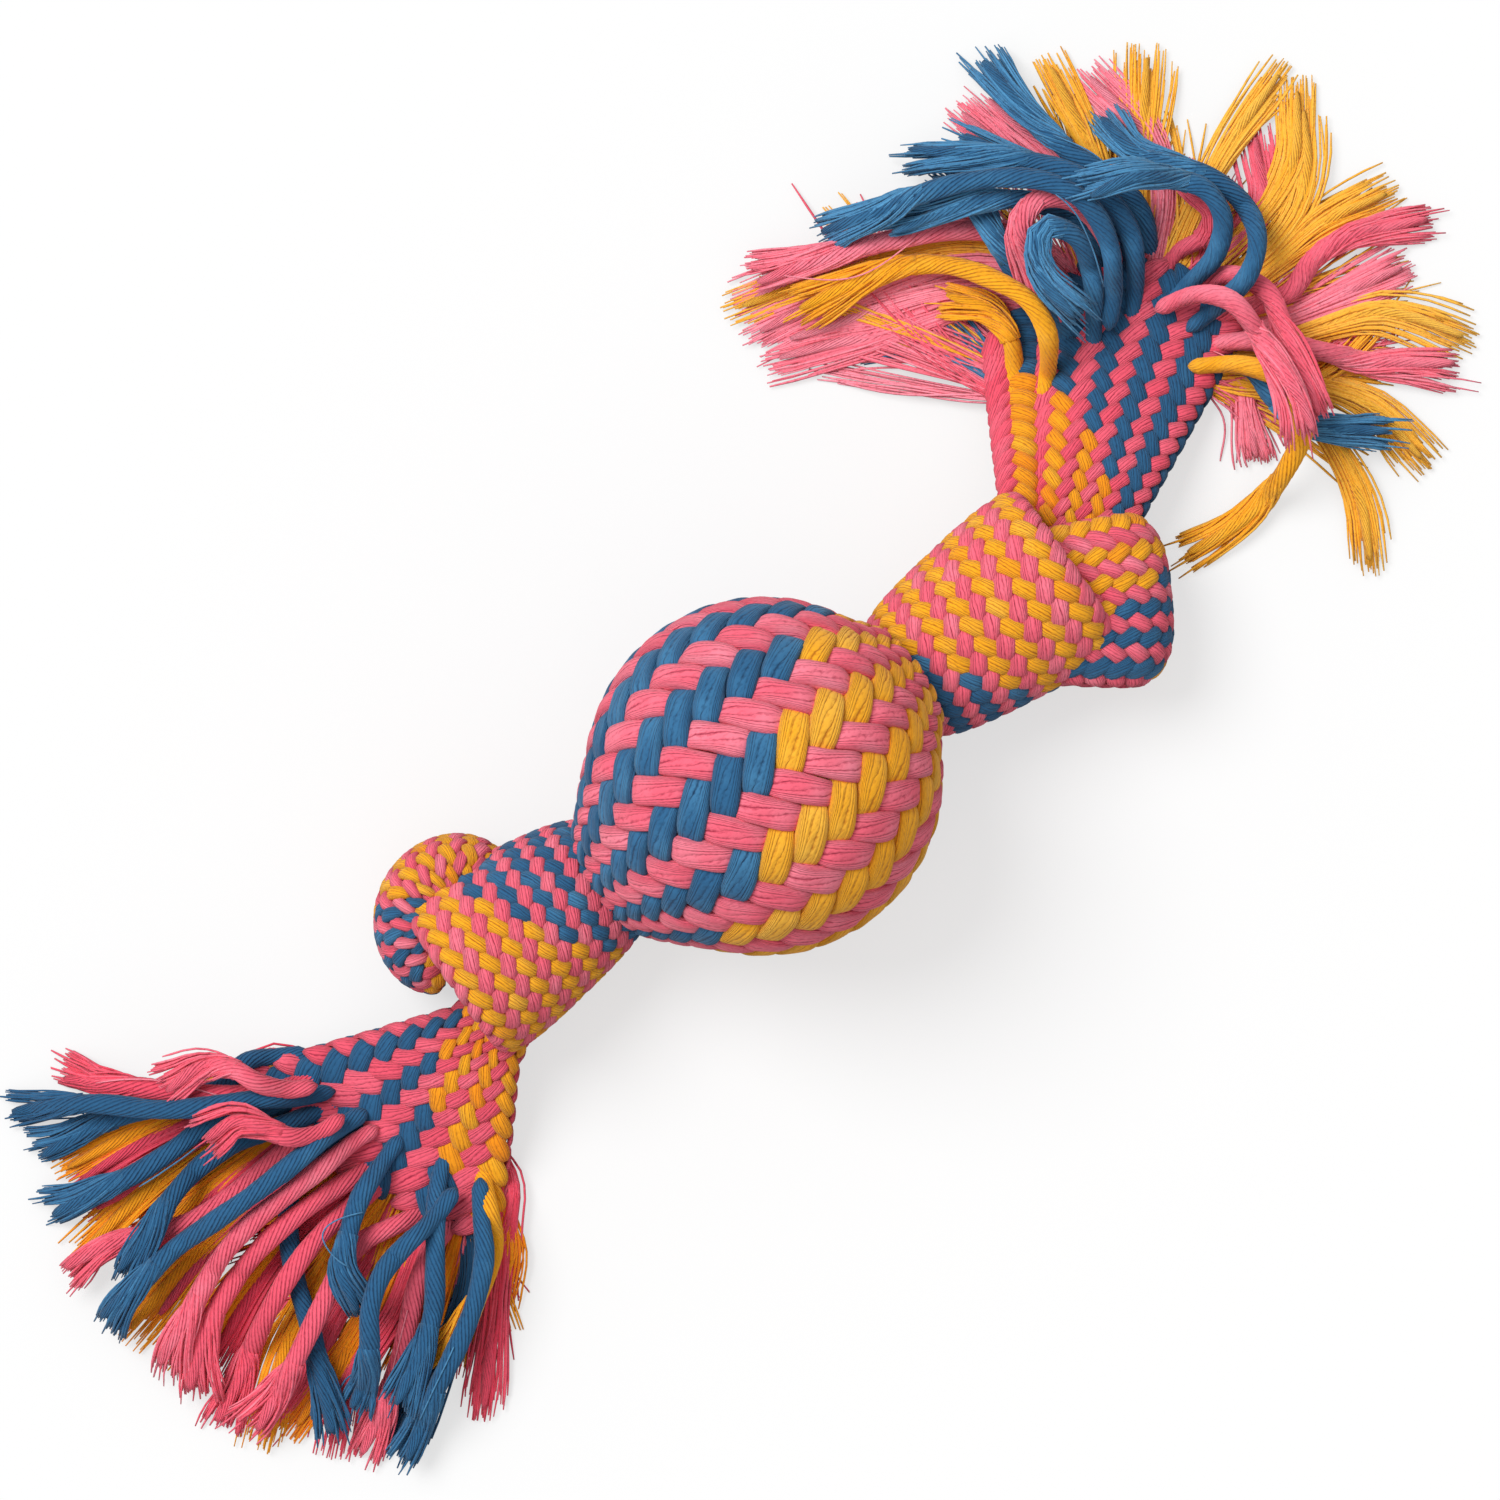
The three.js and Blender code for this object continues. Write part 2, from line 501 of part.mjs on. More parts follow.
// One end's tail and strands. The lower strands belong to the sleeve, and the upper ones lie on them.
function tailSolids(end) {
  const laid = [];
  let tail = solidOf(sleeveGeometry(end));
  for (const [, ...route] of end.underStrands) {
    const points = layStrand(end, route, [], false);
    laid.push(...points);
    tail = tail.add(strandSolid(points, underStrandSides, underStrandStep));
  }
  const strands = end.topStrands.map(([colour, ...route]) => {
    const points = layStrand(end, route, laid, true);
    laid.push(...points);
    return { colour, solid: strandSolid(points, strandSides, strandStep).subtract(floorCut) };
  });
  return { tail: tail.subtract(floorCut), strands };
}

function meshOf(name, solid, colour, roughness = clothRoughness) {
  const material = new THREE.MeshStandardMaterial({ color: colour, roughness, metalness: 0 });
  const mesh = new THREE.Mesh(geometryOf(solid), material);
  mesh.name = name;
  return mesh;
}

const toy = new THREE.Group();
toy.add(meshOf("core_ball", coreBall, colours.rubber, rubberRoughness));
toy.add(meshOf("ball_cover", coverSolid(), colours.pink));
for (const end of [leftEnd, rightEnd]) {
  const { tail, strands } = tailSolids(end);
  toy.add(meshOf(end.name + "_knot", knotSolid(end), colours.yellow));
  toy.add(meshOf(end.name + "_tail", tail, colours.blue));
  strands.forEach(({ colour, solid }, index) => {
    const number = String(index + 1).padStart(2, "0");
    toy.add(meshOf(end.name + "_strand_" + number, solid, colours[colour]));
  });
}

export default toy;
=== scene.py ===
"""Looks of a rope dog toy: a rubber ball under a braided cotton cover, a knot on each side of it,
and beyond each knot a flat braided tail whose strands run out into a loose tassel.

Every braid is made strand by strand. A braid's surface is measured in crossings: u runs along the
braid and v round it. Pink strands wind one way, blue and yellow ones the other way, and each strand
passes over two strands and under two. Lengths are in metres, +Z up, in the frame's own axes.
"""
import logging
import math
from dataclasses import dataclass
from enum import Enum
from functools import partial
from typing import Callable, Optional

import bpy
import numpy as np
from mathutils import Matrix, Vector


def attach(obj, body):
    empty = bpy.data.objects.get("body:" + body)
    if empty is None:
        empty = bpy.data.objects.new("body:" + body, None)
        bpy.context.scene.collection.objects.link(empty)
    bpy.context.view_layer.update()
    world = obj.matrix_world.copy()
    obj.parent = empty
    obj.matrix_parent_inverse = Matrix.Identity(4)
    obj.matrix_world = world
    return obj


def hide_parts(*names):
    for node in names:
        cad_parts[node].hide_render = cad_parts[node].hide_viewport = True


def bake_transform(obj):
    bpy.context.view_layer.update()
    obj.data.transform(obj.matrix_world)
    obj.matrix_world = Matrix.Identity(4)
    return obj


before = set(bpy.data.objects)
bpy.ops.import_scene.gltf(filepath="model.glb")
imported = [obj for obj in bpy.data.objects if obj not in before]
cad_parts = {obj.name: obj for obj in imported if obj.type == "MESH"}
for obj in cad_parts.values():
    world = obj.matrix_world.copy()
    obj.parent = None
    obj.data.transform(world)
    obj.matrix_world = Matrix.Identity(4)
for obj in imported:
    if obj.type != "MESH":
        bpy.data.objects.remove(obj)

LOG = logging.getLogger("rope_toy")
MM = 0.001
UP = np.array([0.0, 0.0, 1.0])
YARN_MAP = "yarn"
# The tint sets how pale a strand is drawn; below minus a half it also mixes in the painted tone of shade and
# bounced glow.
TINT = "tint"
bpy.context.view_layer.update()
# Squareness of a band's section: 1 is an oval, and less is squarer.
BAND_SQUARENESS = 0.7
# How much narrower and thinner than its solid a braid's middle surface is, in strand thicknesses.
INSET = 1.9
# The range of a random phase, in radians.
PHASES = (0, 6)
# The pattern on the hidden layer under a braid: yarns on each of its faces, and millimetres per ring.
INNER_YARNS = 4.0
INNER_RING_MM = 3.0
# The upper strands' seeds begin this far above the lower strands' seeds.
TOP_SEEDS = 50


class Dye(Enum):
    """The three colours of cotton strand in the toy."""

    PINK = "pink"
    BLUE = "blue"
    YELLOW = "yellow"


def linear(hex_colour: str) -> tuple:
    """Turns an sRGB hex colour to linear red, green, blue and alpha.

    Args:
        hex_colour: six hex digits.

    Returns:
        Four numbers from 0 to 1.
    """
    parts = [int(hex_colour[at:at + 2], 16) / 255 for at in (0, 2, 4)]
    return (*[p / 12.92 if p <= 0.04045 else ((p + 0.055) / 1.055) ** 2.4 for p in parts], 1.0)


def add_node(tree: bpy.types.NodeTree, kind: str, links: Optional[dict] = None, **settings) -> bpy.types.Node:
    """Adds a node to a material.

    Args:
        tree: the material's node tree.
        kind: the node's type name.
        links: input socket, by name or number, to a value, to an output socket, or to a node, which
            stands for its first output.
        settings: the node's own properties.

    Returns:
        The new node.
    """
    node = tree.nodes.new(kind)
    for name, value in settings.items():
        setattr(node, name, value)
    for socket, value in (links or {}).items():
        source = value.outputs[0] if isinstance(value, bpy.types.Node) else value
        if isinstance(source, bpy.types.NodeSocket):
            tree.links.new(source, node.inputs[socket])
        else:
            node.inputs[socket].default_value = source
    return node


@dataclass(frozen=True)
class CottonFinish:
    """Dyed cotton strand, a bundle of fine spun yarns: matt, with a soft fuzzy edge light.

    Scales are in patterns per millimetre along a strand and per yarn across it. A pair of numbers
    multiplies a value and then shifts it.
    """

    name: str
    top: str
    # The second colour is painted shade, drawn in the open grooves between the yarns.
    groove_shade: str
    # The third colour is a painted tone for strands low in a tassel: painted shade with a painted glow of
    # light passed between strands.
    shade_and_glow: str
    faded: str
    roughness: float = 0.92
    specular: float = 0.25
    sheen: float = 0.12
    sheen_roughness: float = 0.5
    wander: float = 0.5
    wander_scale: tuple = (0.06, 0.16, 1.0)
    groove_depth: float = 0.15 * MM
    groove_shape: float = 0.6
    groove_shade_strength: float = 1.15
    parting_scale: tuple = (0.08, 0.7, 1.0)
    parting: tuple = (2.0, -0.4)
    fibre_scale: tuple = (0.35 * 3.2, 3.2, 1.0)
    fibre_height: float = 0.5
    fibre_shade: tuple = (1.5, 0.32)
    patch_per_mm: float = 0.13
    patch_share: float = 0.9
    shade_and_glow_range: tuple = (-1.4, -0.7)

    def material(self) -> bpy.types.Material:
        """Builds the material.

        Returns:
            The material. Its pattern follows the yarn map: one unit across is one yarn, and one
            unit along is one millimetre.
        """
        made = bpy.data.materials.new(self.name)
        made.use_nodes = True
        tree = made.node_tree
        shader = tree.nodes["Principled BSDF"]
        node = partial(add_node, tree)
        place = node("ShaderNodeUVMap", uv_map=YARN_MAP)
        split = node("ShaderNodeSeparateXYZ", {0: place})
        # Spun yarn wanders, so neighbouring yarns are never evenly spaced.
        slow = node("ShaderNodeMapping", {"Vector": place, "Scale": self.wander_scale})
        wander = node("ShaderNodeTexNoise", {"Vector": slow, "Scale": 1.0, "Detail": 2.0},
                      noise_dimensions="2D")
        shift = node("ShaderNodeMath", {0: wander, 1: self.wander, 2: split.outputs[1]},
                     operation="MULTIPLY_ADD")
        turn = node("ShaderNodeMath", {0: shift, 1: math.pi}, operation="MULTIPLY")
        wave = node("ShaderNodeMath", {0: turn}, operation="SINE")
        ridge = node("ShaderNodeMath", {0: wave}, operation="ABSOLUTE")
        crown = node("ShaderNodeMath", {0: ridge, 1: self.groove_shape}, operation="POWER")
        # Yarns press together unevenly: the gaps between them open and close over some 12 mm, and painted
        # shade shows only where they are open.
        parting = node("ShaderNodeMapping", {"Vector": place, "Scale": self.parting_scale})
        open_share = node("ShaderNodeTexNoise", {"Vector": parting, "Scale": 1.0, "Detail": 1.0},
                          noise_dimensions="2D")
        gate = node("ShaderNodeMath", {0: open_share, 1: self.parting[0], 2: self.parting[1]},
                    operation="MULTIPLY_ADD", use_clamp=True)
        furrow = node("ShaderNodeMath", {0: 1.0, 1: crown}, operation="SUBTRACT")
        # Fine fibres lie along each yarn, drawn coarser than real ones so that they show.
        along = node("ShaderNodeCombineXYZ", {0: split, 1: shift})
        stretch = node("ShaderNodeMapping", {"Vector": along, "Scale": self.fibre_scale})
        fibre = node("ShaderNodeTexNoise", {"Vector": stretch, "Scale": 1.0, "Detail": 3.0},
                     noise_dimensions="2D")
        height = node("ShaderNodeMath", {0: fibre, 1: self.fibre_height, 2: crown}, operation="MULTIPLY_ADD")
        bump = node("ShaderNodeBump", {"Height": height, "Strength": 1.0, "Distance": self.groove_depth})
        # The dye takes unevenly: patches of some 8 mm are a little paler, on top of the strand's own tint.
        spot = node("ShaderNodeTexNoise", {"Vector": place, "Scale": self.patch_per_mm, "Detail": 2.0},
                    noise_dimensions="2D")
        tint = node("ShaderNodeAttribute", attribute_name=TINT)
        pale = node("ShaderNodeMath", {0: spot, 1: self.patch_share, 2: tint.outputs["Fac"]},
                    operation="MULTIPLY_ADD", use_clamp=True)
        light = node("ShaderNodeMix", {0: pale, 6: linear(self.top), 7: linear(self.faded)}, data_type="RGBA")
        # Strands low in a tassel, with a tint near minus one, take a painted richer tone: painted shade with
        # a painted glow of light passed between their neighbours.
        depth = node("ShaderNodeMath", {0: tint.outputs["Fac"], 1: self.shade_and_glow_range[0], 2: self.shade_and_glow_range[1]},
                     operation="MULTIPLY_ADD", use_clamp=True)
        dye_and_glow = node("ShaderNodeMix", {0: depth, 6: light.outputs[2], 7: linear(self.shade_and_glow)}, data_type="RGBA")
        # Open grooves get painted shade, and the fuzz of the fibres is uneven.
        dark = node("ShaderNodeMath", {0: furrow, 1: gate}, operation="MULTIPLY")
        fuzz = node("ShaderNodeMath", {0: fibre, 1: self.fibre_shade[0], 2: self.fibre_shade[1]},
                    operation="MULTIPLY_ADD")
        lit = node("ShaderNodeMath", {0: dark, 1: -self.groove_shade_strength, 2: fuzz},
                   operation="MULTIPLY_ADD", use_clamp=True)
        coat = node("ShaderNodeMix", {0: lit, 6: linear(self.groove_shade), 7: dye_and_glow.outputs[2]}, data_type="RGBA")
        tree.links.new(coat.outputs[2], shader.inputs["Base Color"])
        tree.links.new(bump.outputs[0], shader.inputs["Normal"])
        shader.inputs["Roughness"].default_value = self.roughness
        shader.inputs["Specular IOR Level"].default_value = self.specular
        shader.inputs["Sheen Weight"].default_value = self.sheen
        shader.inputs["Sheen Roughness"].default_value = self.sheen_roughness
        return made


@dataclass(frozen=True)
class RubberFinish:
    """Moulded rubber of the core ball: dark and matt, with a fine moulded grain."""

    name: str = "moulded_rubber"
    colour: str = "3d3a38"
    # The second colour is painted shade for the hollows of the grain.
    grain_shade: str = "2c2a29"
    roughness: float = 0.8
    grain: float = 0.6 * MM
    grain_depth: float = 0.1 * MM

    def material(self) -> bpy.types.Material:
        """Builds the material.

        Returns:
            The material. Its grain lies in the object's own space, at its real size.
        """
        made = bpy.data.materials.new(self.name)
        made.use_nodes = True
        tree = made.node_tree
        shader = tree.nodes["Principled BSDF"]
        node = partial(add_node, tree)
        place = node("ShaderNodeTexCoord")
        grain = node("ShaderNodeTexNoise", {"Vector": place.outputs["Object"], "Scale": 1 / self.grain})
        bump = node("ShaderNodeBump", {"Height": grain, "Distance": self.grain_depth})
        # The low points of the grain take the darker colour, painted shade in its hollows.
        shade = node("ShaderNodeMix", {0: grain, 6: linear(self.grain_shade), 7: linear(self.colour)},
                     data_type="RGBA")
        tree.links.new(shade.outputs[2], shader.inputs["Base Color"])
        tree.links.new(bump.outputs[0], shader.inputs["Normal"])
        shader.inputs["Roughness"].default_value = self.roughness
        return made


@dataclass(frozen=True)
class PaperFinish:
    """White paper of the floor: matt, and white to the camera wherever no shadow falls on it."""

    name: str = "white_paper"
    grey: float = 0.86
    roughness: float = 1.0
    specular: float = 0.0
    glow: float = 0.62

    def material(self) -> bpy.types.Material:
        """Builds the material.

        Returns:
            The material. Its glow shows to the camera alone, so it throws no light on the toy.
        """
        made = bpy.data.materials.new(self.name)
        made.use_nodes = True
        tree = made.node_tree
        shader = tree.nodes["Principled BSDF"]
        shader.inputs["Base Color"].default_value = (self.grey, self.grey, self.grey, 1)
        shader.inputs["Roughness"].default_value = self.roughness
        shader.inputs["Specular IOR Level"].default_value = self.specular
        node = partial(add_node, tree)
        rays = node("ShaderNodeLightPath")
        glow = node("ShaderNodeEmission", {"Color": (1, 1, 1, 1), "Strength": rays.outputs["Is Camera Ray"]})
        lift = node("ShaderNodeMixShader", {0: self.glow, 1: shader, 2: glow})
        tree.links.new(lift.outputs[0], tree.nodes["Material Output"].inputs["Surface"])
        return made


def unit(vectors: np.ndarray) -> np.ndarray:
    """Vectors at length one."""
    return vectors / np.maximum(np.linalg.norm(vectors, axis=-1, keepdims=True), 1e-12)


def smooth(share: np.ndarray) -> np.ndarray:
    """Eases from 0 to 1 as the share goes from 0 to 1."""
    held = np.clip(share, 0, 1)
    return held * held * (3 - 2 * held)


def squared(wave: np.ndarray, power: float) -> np.ndarray:
    """Sines or cosines raised to a power with their signs kept, which makes an oval squarer."""
    return np.sign(wave) * np.abs(wave) ** power


def run(line: np.ndarray) -> np.ndarray:
    """Distance along a line to each of its points."""
    return np.concatenate([[0], np.cumsum(np.linalg.norm(np.diff(line, axis=0), axis=1))])


def flat_run(x: np.ndarray, y: np.ndarray) -> np.ndarray:
    """Distance along a flat line to each of its points."""
    return np.concatenate([[0], np.cumsum(np.hypot(np.diff(x), np.diff(y)))])


def level_frame(line: np.ndarray) -> tuple:
    """Directions level across a line and over it, at each of its points.

    Args:
        line: its points.

    Returns:
        Unit vectors across, and unit vectors over.
    """
    tangent = unit(np.gradient(line, axis=0))
    across = unit(np.cross(tangent, UP))
    return across, np.cross(across, tangent)


class YarnMesh:
    """Gathers tubes of strand into one mesh, with a map that follows their yarns."""

    def __init__(self, name: str) -> None:
        """Starts an empty mesh.

        Args:
            name: the name of its piece.
        """
        self.name = name
        self.points: list = []
        self.quads: list = []
        self.fans: list = []
        self.quad_maps: list = []
        self.fan_maps: list = []
        self.tints: list = []
        self.count = 0

    def add_grid(self, rings: np.ndarray, along: np.ndarray, lines: np.ndarray, tint: float,
                 closed: bool = False) -> None:
        """Adds a tube.

        Args:
            rings: points of each ring, shaped (rings, sides, 3), in metres.
            along: distance of each ring along the tube, in millimetres.
            lines: yarn number at each side of each ring, shaped (rings, sides + 1).
            tint: how pale the strand is, around zero.
            closed: whether the last ring runs on into the first one.
        """
        total, sides = rings.shape[:2]
        last = total if closed else total - 1
        ring, side = np.meshgrid(np.arange(last), np.arange(sides), indexing="ij")
        ring, side = ring.ravel(), side.ravel()
        after, turn = (ring + 1) % total, (side + 1) % sides
        far = np.append(along, 2 * along[-1] - along[-2])
        self.points.append(rings.reshape(-1, 3))
        self.quads.append(self.count + np.stack(
            [ring * sides + side, ring * sides + turn, after * sides + turn, after * sides + side], 1))
        self.quad_maps.append(np.stack([
            np.stack([far[ring], lines[ring, side]], 1), np.stack([far[ring], lines[ring, side + 1]], 1),
            np.stack([far[ring + 1], lines[after, side + 1]], 1),
            np.stack([far[ring + 1], lines[after, side]], 1)], 1))
        amount = total * sides
        if not closed:
            for at, flip in ((0, True), (total - 1, False)):
                middle = self.count + amount
                self.points.append(rings[at].mean(0)[None])
                amount += 1
                near = np.arange(sides)
                pair = [self.count + at * sides + near, self.count + at * sides + (near + 1) % sides]
                spot = np.full((sides, 1), along[at])
                ends = [np.hstack([spot, lines[at, near + step][:, None]]) for step in (0, 1)]
                if flip:
                    pair, ends = pair[::-1], ends[::-1]
                self.fans.append(np.stack([np.full(sides, middle), *pair], 1))
                hub = np.hstack([spot, lines[at, near][:, None]])
                self.fan_maps.append(np.stack([hub, *ends], 1))
        self.tints.append(np.full(amount, tint))
        self.count += amount

    def build(self, material: bpy.types.Material, slot: str) -> bpy.types.Object:
        """Makes the mesh object.

        Args:
            material: its finish.
            slot: not used.

        Returns:
            The object, not riding on anything yet.
        """
        quads = np.concatenate(self.quads) if self.quads else np.zeros((0, 4), int)
        fans = np.concatenate(self.fans) if self.fans else np.zeros((0, 3), int)
        mesh = bpy.data.meshes.new(self.name)
        mesh.vertices.add(self.count)
        mesh.vertices.foreach_set("co", np.concatenate(self.points).astype(np.float32).ravel())
        mesh.loops.add(quads.size + fans.size)
        mesh.loops.foreach_set("vertex_index", np.concatenate([quads.ravel(), fans.ravel()]).astype(np.int32))
        starts = np.concatenate([np.arange(len(quads)) * 4, quads.size + np.arange(len(fans)) * 3])
        mesh.polygons.add(len(starts))
        mesh.polygons.foreach_set("loop_start", starts.astype(np.int32))
        mesh.update(calc_edges=True)
        maps = [m.reshape(-1, 2) for m in self.quad_maps] + [m.reshape(-1, 2) for m in self.fan_maps]
        layer = mesh.uv_layers.new(name=YARN_MAP)
        layer.uv.foreach_set("vector", np.concatenate(maps).astype(np.float32).ravel())
        tint = mesh.attributes.new(TINT, "FLOAT", "POINT")
        tint.data.foreach_set("value", np.concatenate(self.tints).astype(np.float32))
        mesh.polygons.foreach_set("use_smooth", np.arange(len(starts)) < len(quads))
        mesh.materials.append(material)
        made = bpy.data.objects.new(self.name, mesh)
        bpy.context.scene.collection.objects.link(made)
        return made


def by_dye(name: str) -> dict:
    """Starts an empty mesh of each dye, named for it."""
    return {dye: YarnMesh(f"{name}_{dye.value}") for dye in Dye}


class Wardrobe:
    """The finishes of the toy, each made once."""

    def __init__(self) -> None:
        """Makes every material."""
        # Loosely spun, with the dye taken right through: bright, soft colours, then painted shade for the
        # open grooves between the yarns, then a painted tone of shade and bounced glow for strands low in a
        # tassel.
        self.cotton = {
            Dye.PINK: CottonFinish("spun_cotton_pink", "f4667c", "a52640", "e8405a", "ff9cae").material(),
            Dye.BLUE: CottonFinish("spun_cotton_blue", "2b618b", "133455", "205076", "5496c2").material(),
            Dye.YELLOW: CottonFinish("spun_cotton_yellow", "f9ad1e", "b4620c", "ff860c", "ffc650").material(),
        }
        # The layer under each braid, in cotton coloured with painted shade: dull and dark, so that the gaps
        # between the strands read as shade.
        self.inner = CottonFinish("inner_painted_shade_cotton", "7c1c30", "3c0c18", "5c1424", "8c2a40",
                                  sheen=0.0).material()
        # Hidden by the cover, apart from what shows at its mouths.
        self.rubber = RubberFinish().material()

    def dress(self, mesh: YarnMesh, dye: Dye) -> bpy.types.Object:
        """Makes a mesh's piece, in cotton of a dye."""
        return mesh.build(self.cotton[dye], dye.value + "_cotton")


@dataclass(frozen=True)
class StrandSection:
    """Cross-section of a strand: an oval with the scallops of its yarns."""

    sides: int
    plies: int
    ply_depth: float
    squareness: float
    yarns: int

    def tube(self, mesh: YarnMesh, centre: np.ndarray, across: np.ndarray, over: np.ndarray,
             wide: np.ndarray, thick: np.ndarray, twist: float, tint: float) -> None:
        """Adds a strand along a line.

        Args:
            mesh: where the strand goes.
            centre: the line's points, in metres.
            across: direction of the width at each point.
            over: direction of the thickness at each point.
            wide: half width at each point.
            thick: half thickness at each point.
            twist: turns of the yarns per millimetre.
            tint: how pale the strand is.
        """
        along = run(centre) / MM
        share = np.arange(self.sides + 1) / self.sides
        ply = 1 - self.ply_depth * (1 - np.abs(np.sin(share[:-1] * math.pi * self.plies))) * 2
        # The rings turn with the yarns, so that every ridge runs along one row of edges.
        angle = 2 * math.pi * (share[None, :-1] - twist * along[:, None])
        x = squared(np.cos(angle), self.squareness) * wide[:, None] * ply
        y = squared(np.sin(angle), self.squareness) * thick[:, None] * ply
        rings = centre[:, None] + x[..., None] * across[:, None] + y[..., None] * over[:, None]
        mesh.add_grid(rings, along, np.tile(self.yarns * share, (len(along), 1)), tint)


def superellipse(share: np.ndarray, width: float, thickness: float) -> tuple:
    """Points of a band's rounded section.

    Args:
        share: shares of the way round.
        width: the section's width.
        thickness: the section's thickness.

    Returns:
        Offsets across the width and across the thickness.
    """
    angle = 2 * math.pi * np.asarray(share)
    return (squared(np.cos(angle), BAND_SQUARENESS) * width / 2,
            squared(np.sin(angle), BAND_SQUARENESS) * thickness / 2)


def even_shares(width: float, thickness: float, samples: int = 2000) -> Callable:
    """Maps an even share of a band's outline to the share of its section's angle.

    Args:
        width: the section's width.
        thickness: the section's thickness.
        samples: how finely the outline is measured.

    Returns:
        A function from shares of the outline's length to shares of the angle.
    """
    share = np.linspace(0, 1, samples + 1)
    length = flat_run(*superellipse(share, width, thickness))
    return lambda even: np.floor(even) + np.interp(np.asarray(even) % 1, length / length[-1], share)


def blue_or_yellow(blue: tuple, count: int = 0) -> Callable:
    """Chooses the dye of the strands that cross the pink ones.

    Args:
        blue: number of the first blue strand, and how many blue ones follow each other.
        count: how many strands go round a closed braid, or zero for an open one.

    Returns:
        A function from a strand's number to its dye.
    """
    first, amount = blue

    def dye_of(index: int) -> Dye:
        """Dye of the strand of this number."""
        place = (index - first) % count if count else index - first
        return Dye.BLUE if 0 <= place < amount else Dye.YELLOW

    return dye_of


@dataclass
class Braid:
    """A braid over a surface: each strand passes over two of the other way, then under two.

    The widths, and the greatest thickness, are shares of the spacing of its strands.
    """

    name: str
    surface: Callable
    thickness: float
    over_width: float
    under_width: float
    section: StrandSection
    step: float
    twist: float = 0.01
    open_ends: bool = True
    end_size: float = 0.03
    tint: float = -0.28
    tint_spread: float = 0.14
    inner_tint: float = -0.3
    seed: int = 1
    dive: float = 2.0
    lift: float = 0.46
    greatest_thickness: float = 0.36
    under_thickness: float = 0.8
    over_gain: float = 0.28
    unevenness: float = 0.07
    uneven_length: float = 4.5
    tilt: float = 1.6
    probe: float = 0.05

    def frame_at(self, u: np.ndarray, v: np.ndarray) -> tuple:
        """Measures the surface.

        Args:
            u: crossings along the braid.
            v: crossings round the braid.

        Returns:
            Points, outward directions, and the length of one crossing along and round.
        """
        small = self.probe
        point = self.surface(u, v)
        by_u = (self.surface(u + small, v) - self.surface(u - small, v)) / (2 * small)
        by_v = (self.surface(u, v + small) - self.surface(u, v - small)) / (2 * small)
        return point, unit(np.cross(by_u, by_v)), np.linalg.norm(by_u, axis=1), np.linalg.norm(by_v, axis=1)

    def lay(self, mesh: YarnMesh, u: np.ndarray, v: np.ndarray, upper: int,
            chance: np.random.Generator) -> None:
        """Adds one strand.

        Args:
            mesh: where the strand goes.
            u: crossings along the braid, along the strand.
            v: crossings round the braid, along the strand.
            upper: 1 for a pink strand, minus 1 for one that winds the other way.
            chance: the strand's own random draws.
        """
        point, out, long, wide = self.frame_at(u, v)
        lift = np.tanh(self.dive * np.cos(math.pi / 2 * (v - 0.5))) / math.tanh(self.dive) * upper
        spacing = 2 / np.sqrt(1 / long ** 2 + 1 / wide ** 2)
        share = (lift + 1) / 2
        half = spacing / 2 * (self.under_width + (self.over_width - self.under_width) * share)
        thick = (np.minimum(self.thickness / 2, self.greatest_thickness * spacing)
                 * (self.under_thickness + self.over_gain * share))
        # A cut end is rounded over its last crossing.
        from_end = np.clip(np.minimum(u - u[0], u[-1] - u), self.end_size, 1)
        closing = np.sqrt(from_end) if self.open_ends else 1.0
        tint = chance.normal(self.tint, self.tint_spread)
        # Hand-braided strands vary in width and tilt. Whole waves keep a closed strand's ends together.
        round_trip = (u - u[0]) / (u[-1] - u[0]) * 2 * math.pi
        waves = max(1, round((u[-1] - u[0]) / self.uneven_length))
        uneven = (np.sin(round_trip * waves + chance.uniform(*PHASES))
                  + np.sin(round_trip * (2 * waves + 1) + chance.uniform(*PHASES))) / 2
        half, thick = half * closing * (1 + self.unevenness * uneven), thick * closing
        centre = point + out * (lift * self.thickness * self.lift)[:, None]
        tangent = unit(np.gradient(centre, axis=0))
        across = unit(np.cross(out, tangent) + out * (self.tilt * self.unevenness * uneven[::-1])[:, None])
        over = unit(np.cross(tangent, across))
        self.section.tube(mesh, centre, across, over, half, thick, self.twist * upper, tint)

    def wind(self, mesh: YarnMesh, index: int, upper: int, span: tuple, v_limits: Optional[tuple]) -> None:
        """Adds the strand of one number, if it is longer than a crossing.

        Args:
            mesh: where the strand goes.
            index: its number round the braid.
            upper: 1 for a pink strand, minus 1 for one that winds the other way.
            span: the crossings along the braid between which it runs.
            v_limits: the crossings between which an open braid lies.
        """
        low, high = span
        if v_limits:
            # v is 2 index - u on a pink strand and 2 index + u on the others
            edges = sorted((2 * index - v) * upper for v in v_limits)
            low, high = max(low, edges[0]), min(high, edges[1])
        if high - low < 1:
            return
        u = np.linspace(low, high, max(4, int((high - low) / self.step)))
        # A seed can't be negative, so the number is taken modulo 1000.
        chance = np.random.default_rng([self.seed, index % 1000, upper + 1])
        self.lay(mesh, u, 2 * index - upper * u, upper, chance)

    def weave(self, wardrobe: Wardrobe, pinks: range, others: range, dye_of: Callable, span_of: Callable,
              v_limits: Optional[tuple] = None) -> list:
        """Lays every strand and makes one piece of each colour that occurs.

        Args:
            wardrobe: the finishes.
            pinks: numbers of the pink strands.
            others: numbers of the strands that wind the other way.
            dye_of: gives such a strand's dye by its number.
            span_of: gives the crossings between which a strand runs, by its number and its winding.
            v_limits: the crossings between which an open braid lies.

        Returns:
            The pieces, the pink one first.
        """
        groups = by_dye(self.name)
        for index in pinks:
            self.wind(groups[Dye.PINK], index, 1, span_of(index, 1), v_limits)
        for index in others:
            self.wind(groups[dye_of(index)], index, -1, span_of(index, -1), v_limits)
        return [wardrobe.dress(groups[dye], dye) for dye in Dye if groups[dye].count]

